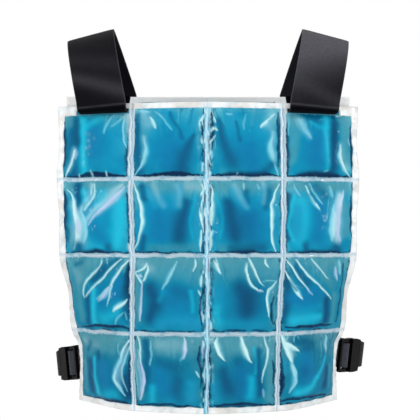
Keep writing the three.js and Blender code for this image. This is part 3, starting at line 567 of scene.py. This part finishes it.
def mark_weight(points, crisp, x, y, wide, tall, rough=0):
    """How much a mark covers the places x, y, which are millimetres from the cell's top left corner."""
    best = np.zeros_like(x)
    p = points * (wide, tall, 1)
    if len(p) == 1:
        p = np.vstack([p, p])
    reach = np.concatenate([[0], np.cumsum(np.hypot(*(p[1:, :2] - p[:-1, :2]).T))]) + 1e-6
    for a, b, start, end in zip(p[:-1], p[1:], reach[:-1], reach[1:]):
        d = b - a
        f = np.clip(((x - a[0]) * d[0] + (y - a[1]) * d[1]) / max(d[0] ** 2 + d[1] ** 2, 1e-6), 0, 1)
        away = np.clip(np.hypot(x - a[0] - f * d[0], y - a[1] - f * d[1]) + rough, 0, None)
        half = a[2] + f * d[2]
        w = np.exp(-0.9 * (away / (half * 1.15 + 0.8)) ** 2)
        if crisp:
            # A crisp mark tapers to its ends, and one of its two sides is fainter
            share = (start + f * (end - start)) / reach[-1]
            half = half * (0.35 + 0.65 * np.clip(np.minimum(share, 1 - share) / 0.3, 0, 1) ** 0.7)
            faint_side = 1 if int(points[0, 0] * 97) % 2 else -1
            faint = (d[0] * (y - a[1]) - d[1] * (x - a[0])) * faint_side > 0
            sharp = 1 - smooth(away, half * 0.5, half * 1.1 + 0.3)
            w = np.where(faint, 0.9 * np.exp(-(away / (half * 0.95 + 0.3)) ** 2), sharp)
        best = np.maximum(best, w)
    return best


def waves(seed, x, longest, shortest, count=7):
    """A seeded wavy line: about -1 to 1."""
    rng = np.random.default_rng(seed)
    lengths = np.geomspace(longest, shortest, count)
    total = sum(np.sin(2 * np.pi * x / k + rng.uniform(0, 6.3)) * rng.uniform(0.5, 1) for k in lengths)
    return total / count * 1.6


def ripples(seed, x, y, longest, shortest, count=12):
    """Seeded small waves that run in every direction: about -1 to 1."""
    rng = np.random.default_rng(seed)
    total = 0
    for length in np.geomspace(longest, shortest, count):
        turn, phase = rng.uniform(0, math.pi), rng.uniform(0, 6.3)
        along = x * math.cos(turn) + y * math.sin(turn)
        total = total + np.sin(2 * np.pi * along / length + phase) * (length / longest) ** 0.7
    return total / count * 2


def warped(panel, s, t):
    """Soft film doesn't weld straight: the same small wander for the webs and the cells between them."""
    seed = 700 if panel is FRONT else 740
    free = smooth(HALF_WIDTH - np.abs(s), 1, 9) * smooth(HEIGHT - t, 1, 9) * smooth(t, SLOT_FOOT, 17)
    across = WANDER_ACROSS * free * ripples(seed, s, t, 40, 9)
    down = WANDER_DOWN * free * ripples(seed + 1, s, t, 40, 9)
    return s + across, t + down


def added(name, data):
    thing = bpy.data.objects.new(name, data)
    bpy.context.scene.collection.objects.link(thing)
    return thing


def piece(name, points, faces, material, tint, **attributes):
    """A smooth piece on the root body. Its tint and other attributes have a value for each point."""
    mesh = bpy.data.meshes.new(name)
    mesh.from_pydata((np.asarray(points).reshape(-1, 3) * 0.001).tolist(), [], faces)
    mesh.validate()
    layer = mesh.color_attributes.new("tint", "FLOAT_COLOR", "POINT")
    rgba = np.concatenate([np.asarray(tint).reshape(-1, 3), np.ones((len(mesh.vertices), 1))], 1)
    layer.data.foreach_set("color", rgba.astype(np.float32).ravel())
    for key, values in attributes.items():
        layer = mesh.attributes.new(key, "FLOAT", "POINT")
        layer.data.foreach_set("value", np.asarray(values, np.float32).ravel())
    mesh.materials.append(material)
    mesh.polygons.foreach_set("use_smooth", [True] * len(mesh.polygons))
    thing = added(name, mesh)
    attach(thing, "root")
    return thing


def slab_faces(filled, flip=False):
    """Faces of a closed sheet on a grid of cells. Its nodes are in order i, j, and outer before inner."""
    nodes_across = filled.shape[1] + 1
    bordered = np.pad(filled, 1)

    def node(place, inner):
        return 2 * (place[0] * nodes_across + place[1]) + inner

    faces = []
    for i, j in np.argwhere(filled).tolist():
        a, b, c, d = (i, j), (i + 1, j), (i + 1, j + 1), (i, j + 1)
        faces.append([node(q, 0) for q in (a, d, c, b)])
        faces.append([node(q, 1) for q in (a, b, c, d)])
        for down, across, p, q in ((-1, 0, a, d), (1, 0, c, b), (0, -1, b, a), (0, 1, d, c)):
            if not bordered[i + 1 + down, j + 1 + across]:
                faces.append([node(q, 0), node(p, 0), node(p, 1), node(q, 1)])
    return [f[::-1] for f in faces] if flip else faces


def node_tree(name, base, roughness, coat=0.0, coat_roughness=0.05, sheen=0.0, gloss=0.5):
    material = bpy.data.materials.new(name)
    material.use_nodes = True
    tree = material.node_tree
    shader = tree.nodes["Principled BSDF"]
    shader.inputs["Base Color"].default_value = (*linear(base), 1)
    shader.inputs["Roughness"].default_value = roughness
    shader.inputs["Coat Weight"].default_value = coat
    shader.inputs["Coat Roughness"].default_value = coat_roughness
    shader.inputs["Sheen Weight"].default_value = sheen
    shader.inputs["Specular IOR Level"].default_value = gloss
    return material, tree, shader


def noise(tree, scale, detail=3.0):
    texture = tree.nodes.new("ShaderNodeTexNoise")
    texture.inputs["Scale"].default_value = scale
    texture.inputs["Detail"].default_value = detail
    tree.links.new(tree.nodes.new("ShaderNodeTexCoord").outputs["Object"], texture.inputs["Vector"])
    return texture.outputs["Fac"]


def attribute(tree, name, output="Fac"):
    node = tree.nodes.new("ShaderNodeAttribute")
    node.attribute_name = name
    return node.outputs[output]


def spread(tree, value, low, high):
    """A value from 0 to 1 as one from low to high."""
    ramp = tree.nodes.new("ShaderNodeMapRange")
    ramp.inputs["To Min"].default_value = low
    ramp.inputs["To Max"].default_value = high
    tree.links.new(value, ramp.inputs["Value"])
    return ramp.outputs["Result"]


def bump(tree, shader, value, distance, strength):
    node = tree.nodes.new("ShaderNodeBump")
    node.inputs["Distance"].default_value = distance
    node.inputs["Strength"].default_value = strength
    tree.links.new(value, node.inputs["Height"])
    tree.links.new(node.outputs["Normal"], shader.inputs["Normal"])


def uneven(tree, shader, scale, low, high):
    """Roughness that varies from low to high."""
    tree.links.new(spread(tree, noise(tree, scale), low, high), shader.inputs["Roughness"])


def shaded(tree, shader, scale, low, high):
    """Light and dark places in the base colour, which goes into the returned socket."""
    shade = tree.nodes.new("ShaderNodeHueSaturation")
    tree.links.new(spread(tree, noise(tree, scale), low, high), shade.inputs["Value"])
    tree.links.new(shade.outputs["Color"], shader.inputs["Base Color"])
    return shade.inputs["Color"]


def tinted(tree, shader, amount, scale):
    """The piece's tint attribute, with its painted highlights and shade, and a little light and dark in it.
    """
    tree.links.new(attribute(tree, "tint", "Color"), shaded(tree, shader, scale, 1 - amount, 1 + amount))


def gel_material():
    material, tree, shader = node_tree("gel", BASE, 0.3, coat=0.13, coat_roughness=0.04, gloss=0.02)
    tinted(tree, shader, 0.1, 90)
    uneven(tree, shader, 60, 0.18, 0.4)
    bump(tree, shader, noise(tree, 420, 4), 0.00035, 0.5)
    return material


def film_material():
    material, tree, shader = node_tree(
        "film", (228, 232, 232), 0.25, coat=0.4, coat_roughness=0.08, gloss=0.3)
    tinted(tree, shader, 0.07, 140)
    uneven(tree, shader, 110, 0.15, 0.45)
    tree.links.new(attribute(tree, "cover"), shader.inputs["Alpha"])
    bump(tree, shader, noise(tree, 300, 4), 0.0006, 0.6)
    return material


# Metres from wave to wave of a wave texture whose scale is 1
WAVE_PITCH = 0.314


def threads(tree, axis, pitch, distortion, place):
    """Threads across an axis, pitch metres apart."""
    wave = tree.nodes.new("ShaderNodeTexWave")
    wave.bands_direction = axis
    wave.inputs["Scale"].default_value = WAVE_PITCH / pitch
    wave.inputs["Distortion"].default_value = distortion
    tree.links.new(place, wave.inputs["Vector"])
    return wave


def strap_material():
    """Black knitted textile, with its threads along and across the strap."""
    material, tree, shader = node_tree("strap", (34, 33, 38), 0.62, sheen=0.02, gloss=0.02)
    shader.inputs["Sheen Roughness"].default_value = 0.4
    where = tree.nodes.new("ShaderNodeCombineXYZ")
    tree.links.new(attribute(tree, "along"), where.inputs["X"])
    tree.links.new(attribute(tree, "across"), where.inputs["Y"])
    weave = tree.nodes.new("ShaderNodeMath")
    weave.operation = "MULTIPLY"
    for axis, factor in zip("XY", weave.inputs):
        wave = threads(tree, axis, 0.0009, 0.6, where.outputs["Vector"])
        tree.links.new(wave.outputs["Fac"], factor)
    bump(tree, shader, weave.outputs["Value"], 0.0004, 0.6)
    tinted(tree, shader, 0.25, 260)
    uneven(tree, shader, 40, 0.52, 0.74)
    return material


def plain_webbing(name, colour):
    """Coarse narrow webbing."""
    material, tree, shader = node_tree(name, colour, 0.7, sheen=0.02, gloss=0.06)
    shaded(tree, shader, 300, 0.6, 1.4).default_value = (*linear(colour), 1)
    wave = threads(tree, "Z", 0.0016, 1.5, tree.nodes.new("ShaderNodeTexCoord").outputs["Object"])
    wave.inputs["Detail Scale"].default_value = 4
    bump(tree, shader, wave.outputs["Fac"], 0.0004, 0.7)
    return material


def moulded_material():
    colour = (7, 7, 8)
    material, tree, shader = node_tree("moulded", colour, 0.3, coat=0.03, coat_roughness=0.1, gloss=0.03)
    shaded(tree, shader, 180, 0.75, 1.3).default_value = (*linear(colour), 1)
    uneven(tree, shader, 130, 0.28, 0.5)
    bump(tree, shader, noise(tree, 1400), 0.00015, 0.5)
    return material


GEL, FILM_MATERIAL, MOULDED, STRAP = gel_material(), film_material(), moulded_material(), strap_material()
# Lit and shaded copies of one webbing: painted lighter as lit for the front side straps, darker as in shade
# for the rest
LIT_WEBBING = plain_webbing("webbing", (56, 58, 66))
SHADED_WEBBING = plain_webbing("dark webbing", (30, 30, 33))
CELL_MARKS = marks()


def cell_grid(panel, row, column, u, v):
    """Where the shares u across and v down a cell lie on its panel, and how wide and tall the cell is."""
    rows = row_lines(column in (0, 3))
    tall = rows[2 * row + 2] - rows[2 * row + 1]
    t = rows[2 * row + 1] - TUCK + (tall + 2 * TUCK) * v
    lines = column_lines(panel, t)
    left, right = lines[..., 2 * column + 1] - TUCK, lines[..., 2 * column + 2] + TUCK
    return left + (right - left) * u, t, float(np.mean(right - left)), tall


def gel_tint(colours):
    """The tint that shows as these colours on a surface that also shines a little."""
    return np.clip(linear(colours) * TINT_SHARE - TINT_LOSS, TINT_LEAST, 1)


def flat(shape, colour):
    return np.ones(shape + (3,)) * np.array(colour, float)


def paint(base, colour, weight):
    """The base with a colour, or that of a kind of mark, laid over it."""
    if isinstance(colour, str):
        colour = KINDS[colour][0]
    return base + (np.asarray(colour, float) - base) * np.clip(weight, 0, 1)[..., None]


def make_cell(panel, row, column, n):
    """A gel cell of n by n steps, with the folds in its film and the marks on it."""
    front = panel is FRONT
    x = np.linspace(0, 1, n + 1)
    # The steps are finer near the welds
    x = x - 0.4 * np.sin(2 * np.pi * x) / (2 * np.pi)
    u, v = np.meshgrid(x, x, indexing="ij")
    s, t, wide, tall = cell_grid(panel, row, column, u, v)
    seed = 100 * row + column + (0 if front else 50)
    mx, my = u * wide, v * tall
    side = np.minimum(mx, wide - mx)
    foot, head = tall - my, my
    edge = np.minimum(side, np.minimum(foot, head))
    weld_run = np.where(side < np.minimum(foot, head), my, mx)
    pillow = np.clip(16 * u * (1 - u) * v * (1 - v), 0, None) ** FULLNESS * (1 + SAG * (v - 0.5))
    # Puckers that run in from the welds
    near_weld = np.exp(-head / (9 + 5 * row)) * (0.5 + 0.2 * row) + 0.7 * np.exp(-foot / 5)
    pucker = waves(seed, mx, 17, 4) * near_weld
    pucker = pucker + waves(seed + 7, my, 19, 4.5) * np.exp(-side / 6) * 0.7
    film = 0.45 * ripples(seed + 3, mx, my, 46, 7) * smooth(edge, 0, 9)
    relief = (pucker + film) * smooth(edge, 0, 2.2)
    # Thin gel is light: along the head, in the corners and at the sides
    tint = paint(flat(u.shape, BASE), "light", 0.35 * smooth(ripples(seed + 9, mx, my, 70, 20, 6), -0.3, 1))
    tint = paint(tint, (108, 166, 184), (0.25 + 0.18 * row) * np.exp(-head / (7 + 5 * row)))
    halo = smooth(ripples(seed + 19, mx, my, 44, 12, 8), -0.8, 0.5)
    halo = halo * np.exp(-np.minimum(edge, head * 0.7) / 12)
    tint = paint(tint, (96, 190, 208), (0.7 - 0.12 * row) * halo)
    corner = np.exp(-np.hypot(side, head * 0.8) / 13)
    tint = paint(tint, (150, 216, 226), (0.85 - 0.12 * row) * corner)
    # Painted wrinkles by the head weld, with no relief: painted shade in their hollows, and on their crests
    # paler film that is partly a painted highlight
    wrinkle = ripples(seed + 17, mx, my, 13, 2.8, 16)
    tint = paint(tint, "dark", 0.7 * smooth(wrinkle, 0.15, 0.6) * np.exp(-head / (5 + 4 * row)))
    tint = paint(tint, "clear", 0.6 * smooth(-wrinkle, 0.15, 0.6) * np.exp(-head / (4 + 3 * row)))
    thin = 0.45 + 0.55 * waves(seed + 41, my, 90, 18, 5)
    tint = paint(tint, (120, 170, 182), (0.26 + 0.15 * row) * thin * np.exp(-side / (5 + 1.5 * row)))
    # A jagged rim of painted shade beside the welds at its sides and foot
    jag = np.clip(0.5 + 0.6 * waves(seed + 5, weld_run, 20, 4.5), 0, 1.2)
    rim = 0.8 + 2.4 * jag ** 2
    left, right = (smooth(waves(seed + k, my, 120, 25, 5), -0.5, 0.3) for k in (42, 43))
    here = np.where(u > 0.5, right, left)
    tint = paint(tint, "navy", 0.85 * here * (1 - smooth(side, rim * 0.6, rim + 1.0)))
    rim = 1.0 + 2.2 * jag
    share = smooth(waves(seed + 45, mx, 70, 9, 6), RIM_FROM[row - 1], 0.5) if row else 1.0
    tint = paint(tint, "navy", 0.92 * share * (1 - smooth(foot, rim, rim + 0.8)))
    tint = tint * ROW_LIGHT[row]
    # The back panel's marks are the front's, the other way round
    warp = 0.9 * smooth(edge, 0, 6)
    px = (u if front else 1 - u) * wide + warp * ripples(seed + 13, mx, my, 50, 18, 8)
    py = my + warp * ripples(seed + 14, mx, my, 50, 18, 8)
    # Faint folds that fan out from the head weld: relief, with a painted highlight along every other one and
    # painted shade along the rest
    rng = np.random.default_rng(seed + 600)
    for fold in range(9):
        start = rng.uniform(0.06, 0.94)
        deep = rng.uniform(0.18, 0.5)
        bend = start + (0.5 - start) * rng.uniform(0.1, 0.5) * deep / 0.35
        line = np.array([(start, 0.0, 0.9), ((start * 2 + bend) / 3, deep * 0.5, 0.7), (bend, deep, 0.3)])
        light = fold % 2 == 0
        weight = rng.uniform(0.2, 0.42) * mark_weight(line, True, px, py, wide, tall)
        tint = paint(tint, (132, 208, 222) if light else (0, 92, 138), weight)
        relief = relief + (0.4 if light else -0.3) * weight * smooth(edge, 0, 2.5)
    streak = 0.86 + 0.16 * waves(seed + 23, mx + (u - 0.5) * my, 60, 14)
    fade = 0.9 + 0.1 * ripples(seed + 15, mx, my, 24, 5)
    # The listed marks with their relief: the white, pale, lilac and glare ones are painted highlights, the
    # navy ones painted shade
    for kind, strength, points in CELL_MARKS[row, column if front else 3 - column]:
        colour, height, crisp = KINDS[kind]
        rough = (0.8 if kind == "navy" else 0.12) * wrinkle if crisp else 0
        weight = strength * mark_weight(points, crisp, px, py, wide, tall, rough)
        if crisp:
            weight = weight * (1.15 * fade)
        if kind in ("teal", "clear"):
            weight = weight * streak
        tint = paint(tint, colour, weight)
        relief = relief + height * weight * smooth(edge, 0, 2.5)
    if column in (1, 2):
        # Crushed film beside the middle weld: relief, with painted shade in its hollows and painted
        # highlights on its crests
        middle = wide - mx if column == 1 else mx
        crush = ripples(seed + 51, middle * 2.4, my, 30, 6, 12)
        near = np.exp(-(middle / 4.2) ** 2)
        tint = paint(tint, "navy", 0.9 * smooth(crush, 0.15, 0.45) * near)
        tint = paint(tint, "white", 0.95 * smooth(-crush, 0.12, 0.4) * near)
        relief = relief - 0.9 * crush * near * smooth(edge, 0, 1.5)
    seam = (0.5 + 0.5 * waves(seed + 31, weld_run, 11, 2.2)) ** 3
    tint = paint(tint, (188, 222, 232), 0.85 * (1 - smooth(edge, 0.2 + 0.9 * seam, 0.6 + 1.5 * seam)))
    # The inner face: teal at the head, painted shade at its sides and foot, and lighter places at random
    inner_tint = paint(flat(u.shape, (20, 132, 176)), "teal", np.exp(-head / 20))
    inner_tint = paint(inner_tint, "navy", 0.7 * (1 - smooth(np.minimum(side, foot), 1, 2.5 + jag)))
    inner_tint = paint(inner_tint, "light", 0.5 * smooth(ripples(seed + 21, mx, my, 40, 12, 6), 0, 1))
    out = FILM / 2 - SUNK + BULGE_OUT * pillow + relief
    into = -(FILM / 2 - SUNK + BULGE_IN * pillow + 0.5 * (pucker + film) * smooth(edge, 0, 2.2))
    s, t = warped(panel, s, t)
    both = np.stack([panel_point(panel, s, t, out), panel_point(panel, s, t, into)], 2)
    name = f"{panel['name']}_gel_cell_{row + 1}_{column + 1}"
    faces = slab_faces(np.ones((n, n), bool), not front)
    thing = piece(name, both, faces, GEL, gel_tint(np.stack([tint, inner_tint], 2)))
    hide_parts(f"{panel['name']}_cell_{row + 1}_{column + 1}")


# The welds and cells in turn, across or down a panel
BANDS = 9


def line_places(weld, span):
    """Places from 0 to the number of bands, with so many steps in each weld and in each span between them."""
    places = []
    for band in range(BANDS):
        parts = span if band % 2 else weld
        places += [band + i / parts for i in range(parts)]
    return np.array([*places, float(BANDS)])


def make_film(panel, weld, span):
    """The film of a panel: one closed web of welds with a window for each cell and the two strap slots."""
    front = panel is FRONT
    a = line_places(weld, span)
    pa, pd = np.meshgrid(a, a, indexing="ij")
    last = BANDS - 1
    band_a, band_d = np.minimum(pa.astype(int), last), np.minimum(pd.astype(int), last)
    window = ((a[:-1] + a[1:]) / 2).astype(int) % 2 == 1
    filled = ~(window[:, None] & window[None, :])
    outer = (pa <= 2) | (pa >= BANDS - 2)
    lines = range(BANDS + 1)
    t = np.where(outer, np.interp(pd, lines, row_lines(True)), np.interp(pd, lines, row_lines(False)))
    columns = column_lines(panel, t)
    low = np.take_along_axis(columns, band_a[..., None], -1)[..., 0]
    high = np.take_along_axis(columns, band_a[..., None] + 1, -1)[..., 0]
    s = low + (high - low) * (pa - band_a)
    if front:
        ms, mt = (s[:-1, :-1] + s[1:, 1:]) / 2, (t[:-1, :-1] + t[1:, 1:]) / 2
        in_slot = (np.abs(ms) > SLOT_INNER) & (np.abs(ms) < SLOT_OUTER) & (mt > SLOT_TOP) & (mt < SLOT_FOOT)
        filled &= ~in_slot
    seed = 900 if front else 950
    rim = np.minimum(np.minimum(HALF_WIDTH - np.abs(s), t), HEIGHT - t)
    fa, fd = pa - band_a, pd - band_d
    in_column_weld = (band_a % 2 == 0) & (band_a > 0) & (band_a < last)
    in_row_weld = (band_d % 2 == 0) & (band_d > 0) & (band_d < last)
    crinkle = 0.3 * ripples(seed, s, t, 22, 4)
    at_side, at_end = np.abs(s) > HALF_WIDTH - 12, (t < 9) | (t > HEIGHT - 9)
    wavy = 0.9 * waves(seed + 1, t, 60, 9) * at_side + 0.8 * waves(seed + 2, s, 50, 10) * at_end
    ridge = np.where(in_column_weld, 0.9 * np.cos(2 * np.pi * (fa + 0.12 * waves(seed + 3, t, 30, 6))), 0)
    ridge = ridge + np.where(in_row_weld & ~in_column_weld, 0.5 * np.cos(2 * np.pi * fd), 0)
    free = smooth(rim, 0, 4)
    out = crinkle + wavy * (1 - 0.5 * free) + 0.5 * ridge
    tint = flat(s.shape, (244, 247, 247))
    tint = paint(tint, (214, 226, 231), 0.7 * smooth(ripples(seed + 4, s, t, 30, 5), -0.2, 0.7))
    tint = paint(tint, (222, 217, 212), 0.7 * smooth(ripples(seed + 16, s, t, 60, 12, 10), -0.1, 0.5))
    welded = in_row_weld | in_column_weld
    below_top = smooth(t, 5, 9)
    middle = in_column_weld * (band_a == BANDS // 2) * below_top
    margin = 1 - 0.75 * ((band_a == 0) | (band_a == last) | (band_d == 0) | (band_d == last))
    tint = paint(tint, (128, 170, 194), 0.75 * welded * margin)
    tint = paint(tint, (190, 202, 208), 0.6 * ~welded * smooth(ripples(seed + 14, s, t, 24, 5, 16), 0.0, 0.6))
    # Lines down each column weld: the place across it, the breadth, the colour and the strength
    wander = 0.14 * waves(seed + 3, t, 46, 7)
    for place, breadth, colour, strength in (
            (0.3, 0.12, (240, 247, 252), 0.85), (0.52, 0.07, (84, 122, 148), 0.6),
            (0.74, 0.08, (214, 230, 242), 0.65)):
        line = np.exp(-((fa - place - wander) / breadth) ** 2)
        tint = paint(tint, colour, strength * in_column_weld * (0.3 + 0.7 * below_top) * line)
    line = np.exp(-((fd - 0.5 + 0.2 * waves(seed + 8, s, 60, 9)) / 0.24) ** 2)
    tint = paint(tint, (196, 212, 221), 0.8 * in_row_weld * line)
    patches = smooth(-waves(seed + 12, s, 50, 8), 0.1, 0.6)
    tint = paint(tint, (96, 160, 190), 0.5 * margin * in_row_weld * patches)
    # The middle weld has a bright line with crumpled film on both sides of it; the crumples are painted shade
    # and painted highlights
    crumple = ripples(seed + 9, s * 2.2, t, 34, 7, 14)
    beside = np.abs(fa - 0.5 - 0.5 * wander)
    flank = smooth(beside, 0.15, 0.3)
    tint = paint(tint, (60, 160, 200), 0.85 * middle)
    tint = paint(tint, (6, 60, 106), 0.9 * middle * smooth(crumple, 0.0, 0.3) * flank)
    tint = paint(tint, (226, 246, 255), 0.9 * middle * smooth(-crumple, 0.15, 0.4) * flank)
    tint = paint(tint, (186, 228, 240), 0.95 * middle * (1 - smooth(beside, 0.12, 0.26)))
    # The back panel's top band is painted lighter, against the shade it lies in behind the front
    if not front:
        tint = paint(tint, (255, 255, 252), 0.75 * (1 - smooth(t, 8, 14)))
    out = out + 0.7 * middle * crumple
    cover = 0.93 + 0.05 * welded
    half = FILM / 2
    s, t = warped(panel, s, t)
    both = np.stack([panel_point(panel, s, t, half + out), panel_point(panel, s, t, out - half)], 2)
    thing = piece(f"{panel['name']}_film_sheet", both, slab_faces(filled, not front), FILM_MATERIAL,
                  linear(0.93 * np.stack([tint, tint], 2)), cover=np.stack([cover, cover], 2))
    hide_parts(f"{panel['name']}_panel_film")


# Shoulder straps, on the path of their solids but 1.5 mm lower in the slots
STRAP_WIDTH, STRAP_THICKNESS, STRAP_INSET, BACK_INSET = 60, 2.5, 127.5, 124
CREST_X, CREST_DROP, CREST_TILT, ARCH_POWER = 147.5, 1.5, math.radians(14.4), 1.18
SLOT_BAR, TAIL_RISE, TAIL_STANDOFF, TAIL_LEAN, LOOP_STANDOFF, SEWN = 7, 9, 3.6, 3.4, 14, 11.5
STRAP_DROP, STRAP_GAP, STRAP_LINES, EDGE_ROUNDING = 1.8, 0.3, 41, 0.35


def quadratic(a, b, c, steps):
    f = np.linspace(0, 1, steps)[:, None]
    return (1 - f) ** 2 * np.array(a) + 2 * f * (1 - f) * np.array(b) + f * f * np.array(c)


def strap_row(sign, across):
    """A line of points along a strap, from its tail to its sewn end, at -1 to 1 across it."""
    half = STRAP_WIDTH / 2
    s = sign * (STRAP_INSET + across * half)
    under = SLOT_BAR + STRAP_DROP + STRAP_THICKNESS / 2
    hook = np.concatenate([
        np.linspace((-TAIL_RISE, -TAIL_STANDOFF), (under - TAIL_STANDOFF, -TAIL_STANDOFF), 8)[:-1],
        quadratic((under - TAIL_STANDOFF, -TAIL_STANDOFF), (under, -TAIL_STANDOFF), (under, 0), 8)[:-1],
        np.linspace((under, 0), (under, LOOP_STANDOFF / 3), 4)[:-1],
        quadratic((under, LOOP_STANDOFF / 3), (under, LOOP_STANDOFF), (-STRAP_THICKNESS, LOOP_STANDOFF), 14)])
    lean = np.clip((under - hook[:, 0]) / (under + TAIL_RISE), 0, None) * (hook[:, 1] < 0) * TAIL_LEAN
    tail = panel_point(FRONT, s - sign * lean, hook[:, 0], hook[:, 1])
    foot = tail[-1]
    standoff = FILM / 2 + STRAP_GAP + STRAP_THICKNESS / 2
    back_s = sign * (BACK_INSET + across * half)
    sewn = panel_point(BACK, back_s, np.linspace(-STRAP_THICKNESS, SEWN, 8), np.full(8, standoff))
    crest = np.array((sign * (CREST_X + across * half * math.cos(CREST_TILT)), (foot[1] + sewn[0][1]) / 2,
                      STRAP_THICKNESS / 2 - CREST_DROP - across * half * math.sin(CREST_TILT)))

    def leg(start, q):
        rise, reach = np.sin(q * np.pi / 2) ** ARCH_POWER, np.cos(q * np.pi / 2) ** ARCH_POWER
        return np.stack([start[0] + (crest[0] - start[0]) * rise, crest[1] + (start[1] - crest[1]) * reach,
                         start[2] + (crest[2] - start[2]) * rise], -1)

    q = np.linspace(0, 1, 46)
    path = np.concatenate([tail[:-1], leg(foot, q)[:-1], leg(sewn[0], q[::-1])[:-1], sewn])
    # The bends where the strap rises from the slot and from its sewn end are softened
    for again in range(6):
        path[26:-10] = (path[25:-11] + 2 * path[26:-10] + path[27:-9]) / 4
    return path


def strap_tint(sign, run, x):
    """A strap's painted sheen, light, highlights and shadow at a share of its length and at -1 to 1 across
    it.
    """
    # The right strap is painted lighter than the left, as it lies more in the light
    shade = flat(np.broadcast(run, x).shape, (15, 14, 18) if sign < 0 else (26, 26, 30))
    if sign < 0:
        # A painted sheen across the left strap in two diagonal bands
        band = np.exp(-((run - 0.2 - 0.035 * x) / 0.035) ** 2)
        band = band + 0.5 * np.exp(-((run - 0.3 - 0.03 * x) / 0.05) ** 2)
        shade = paint(shade, (60, 60, 64), 0.7 * band)
    else:
        # Painted light on the right strap's upper front, and a painted sheen band lower down
        lit = smooth(run + 0.05 * x, 0.12, 0.4) * (1 - smooth(run, 0.46, 0.62))
        shade = paint(shade, (76, 76, 82), 0.95 * lit)
        shade = paint(shade, (56, 56, 60), 0.5 * np.exp(-((run - 0.17 - 0.04 * x) / 0.03) ** 2))
    # The underside of the fold at the slot lies in shadow below a faint bright line
    fold = 0.112 + 0.005 * x * sign
    shade = paint(shade, (3, 3, 4), 0.92 * (1 - smooth(run, fold - 0.008, fold)))
    shade = paint(shade, (84, 84, 90), 0.5 * np.exp(-((run - fold - 0.003) / 0.003) ** 2))
    # Painted highlights along the rounded edges
    return paint(shade, (88, 88, 92), 0.5 * smooth(np.abs(x), 0.955, 0.99))


def make_strap(side, sign):
    """A shoulder strap with rounded edges."""
    rows = np.stack([strap_row(sign, x) for x in np.linspace(-1, 1, STRAP_LINES)], 1)
    if sign > 0:
        rows = rows[:, ::-1]
    normal = np.cross(np.gradient(rows, axis=0), np.gradient(rows, axis=1))
    normal /= np.linalg.norm(normal, axis=-1, keepdims=True)
    m, n = rows.shape[:2]
    x = np.linspace(-1, 1, n)
    profile = STRAP_THICKNESS / 2 * (1 - EDGE_ROUNDING * np.abs(x) ** 12)
    both = np.stack([rows + normal * profile[None, :, None], rows - normal * profile[None, :, None]], 2)
    length = np.concatenate([[0], np.cumsum(np.linalg.norm(np.diff(rows[:, n // 2], axis=0), axis=1))])
    width = np.linalg.norm(rows[0, -1] - rows[0, 0])
    run = np.broadcast_to(length[:, None, None] * 0.001, (m, n, 2))
    wide = np.broadcast_to((x * width / 2)[None, :, None] * 0.001, (m, n, 2))
    tint = linear(strap_tint(sign, length[:, None] / length[-1], x[None, :]))
    tint = np.broadcast_to(tint[:, :, None, :], (m, n, 2, 3))
    faces = slab_faces(np.ones((m - 1, n - 1), bool))
    thing = piece(f"shoulder_strap_cloth_{side}", both, faces, STRAP, tint, along=run, across=wide)
    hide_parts(f"shoulder_strap_{side}")


def finish_cad_nodes():
    """The buckles and side straps keep their solids, with softened edges and their own finish; the front side
    straps take the webbing painted lighter as lit, the others the one painted darker as in shade.
    """
    for name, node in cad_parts.items():
        hard = name.startswith("buckle")
        if hard or name.startswith("side_strap"):
            bevel = node.modifiers.new("soft edges", "BEVEL")
            bevel.width = 0.0006 if hard else 0.0003
            bevel.segments = 2
            bevel.limit_method = "ANGLE"
            webbing = LIT_WEBBING if name.startswith("side_strap_front") else SHADED_WEBBING
            node.material_slots[0].material = MOULDED if hard else webbing


def area(name, place, target, size, power):
    light = bpy.data.lights.new(name, "AREA")
    light.shape = "RECTANGLE"
    light.size, light.size_y = size
    light.energy = power
    turn = (Vector(target) - Vector(place)).to_track_quat("-Z", "Y")
    added(name, light).matrix_world = Matrix.LocRotScale(Vector(place), turn, None)


FLOOR_RADIUS, FLOOR_HEIGHT, FLOOR_SIDES = 3, -1.0, 64
# A pixel of the photo is 1.2 mm at the front panel, and the vest's middle is 208 pixels from its left edge
CAMERA_PLACE, CAMERA_LENS = (0.0024, -2.3, -0.2198), 157.0


def make_studio():
    scene = bpy.context.scene
    world = bpy.data.worlds.new("studio")
    world.use_nodes = True
    world.node_tree.nodes["Background"].inputs["Color"].default_value = (1, 1, 1, 1)
    world.node_tree.nodes["Background"].inputs["Strength"].default_value = 1.0
    scene.world = world
    scene.view_settings.view_transform = "Standard"
    mesh = bpy.data.meshes.new("floor")
    turns = [2 * math.pi * i / FLOOR_SIDES for i in range(FLOOR_SIDES)]
    ring = [(FLOOR_RADIUS * math.cos(a), FLOOR_RADIUS * math.sin(a), FLOOR_HEIGHT) for a in turns]
    mesh.from_pydata(ring, [], [list(range(FLOOR_SIDES))])
    floor = added("floor", mesh)
    material, tree, shader = node_tree("floor", (231, 231, 231), 0.9)
    uneven(tree, shader, 30, 0.85, 0.95)
    mesh.materials.append(material)
    middle = (0, 0, -0.25)
    area("strip left", (-1.3, -1.6, 0.3), middle, (0.06, 1.7), 9)
    area("strip right", (1.3, -1.6, 0.3), middle, (0.06, 1.7), 9)
    area("top", (0, -0.9, 1.5), middle, (1.4, 0.12), 5)
    area("behind", (0.3, 1.9, 0.9), middle, (1.4, 0.9), 5)
    camera = bpy.data.cameras.new("camera")
    camera.lens = CAMERA_LENS
    camera.sensor_width = 36
    camera.clip_end = 30
    thing = added("camera", camera)
    thing.location = CAMERA_PLACE
    thing.rotation_euler = (math.pi / 2, 0, 0)
    scene.camera = thing


# The front cells are finer, as they are seen from nearer
FRONT_STEPS, BACK_STEPS = 84, 48

make_studio()
for row in range(4):
    for column in range(4):
        make_cell(FRONT, row, column, FRONT_STEPS)
        make_cell(BACK, row, column, BACK_STEPS)
make_film(FRONT, weld=6, span=44)
make_film(BACK, weld=5, span=32)
make_strap("left", -1)
make_strap("right", 1)
finish_cad_nodes()
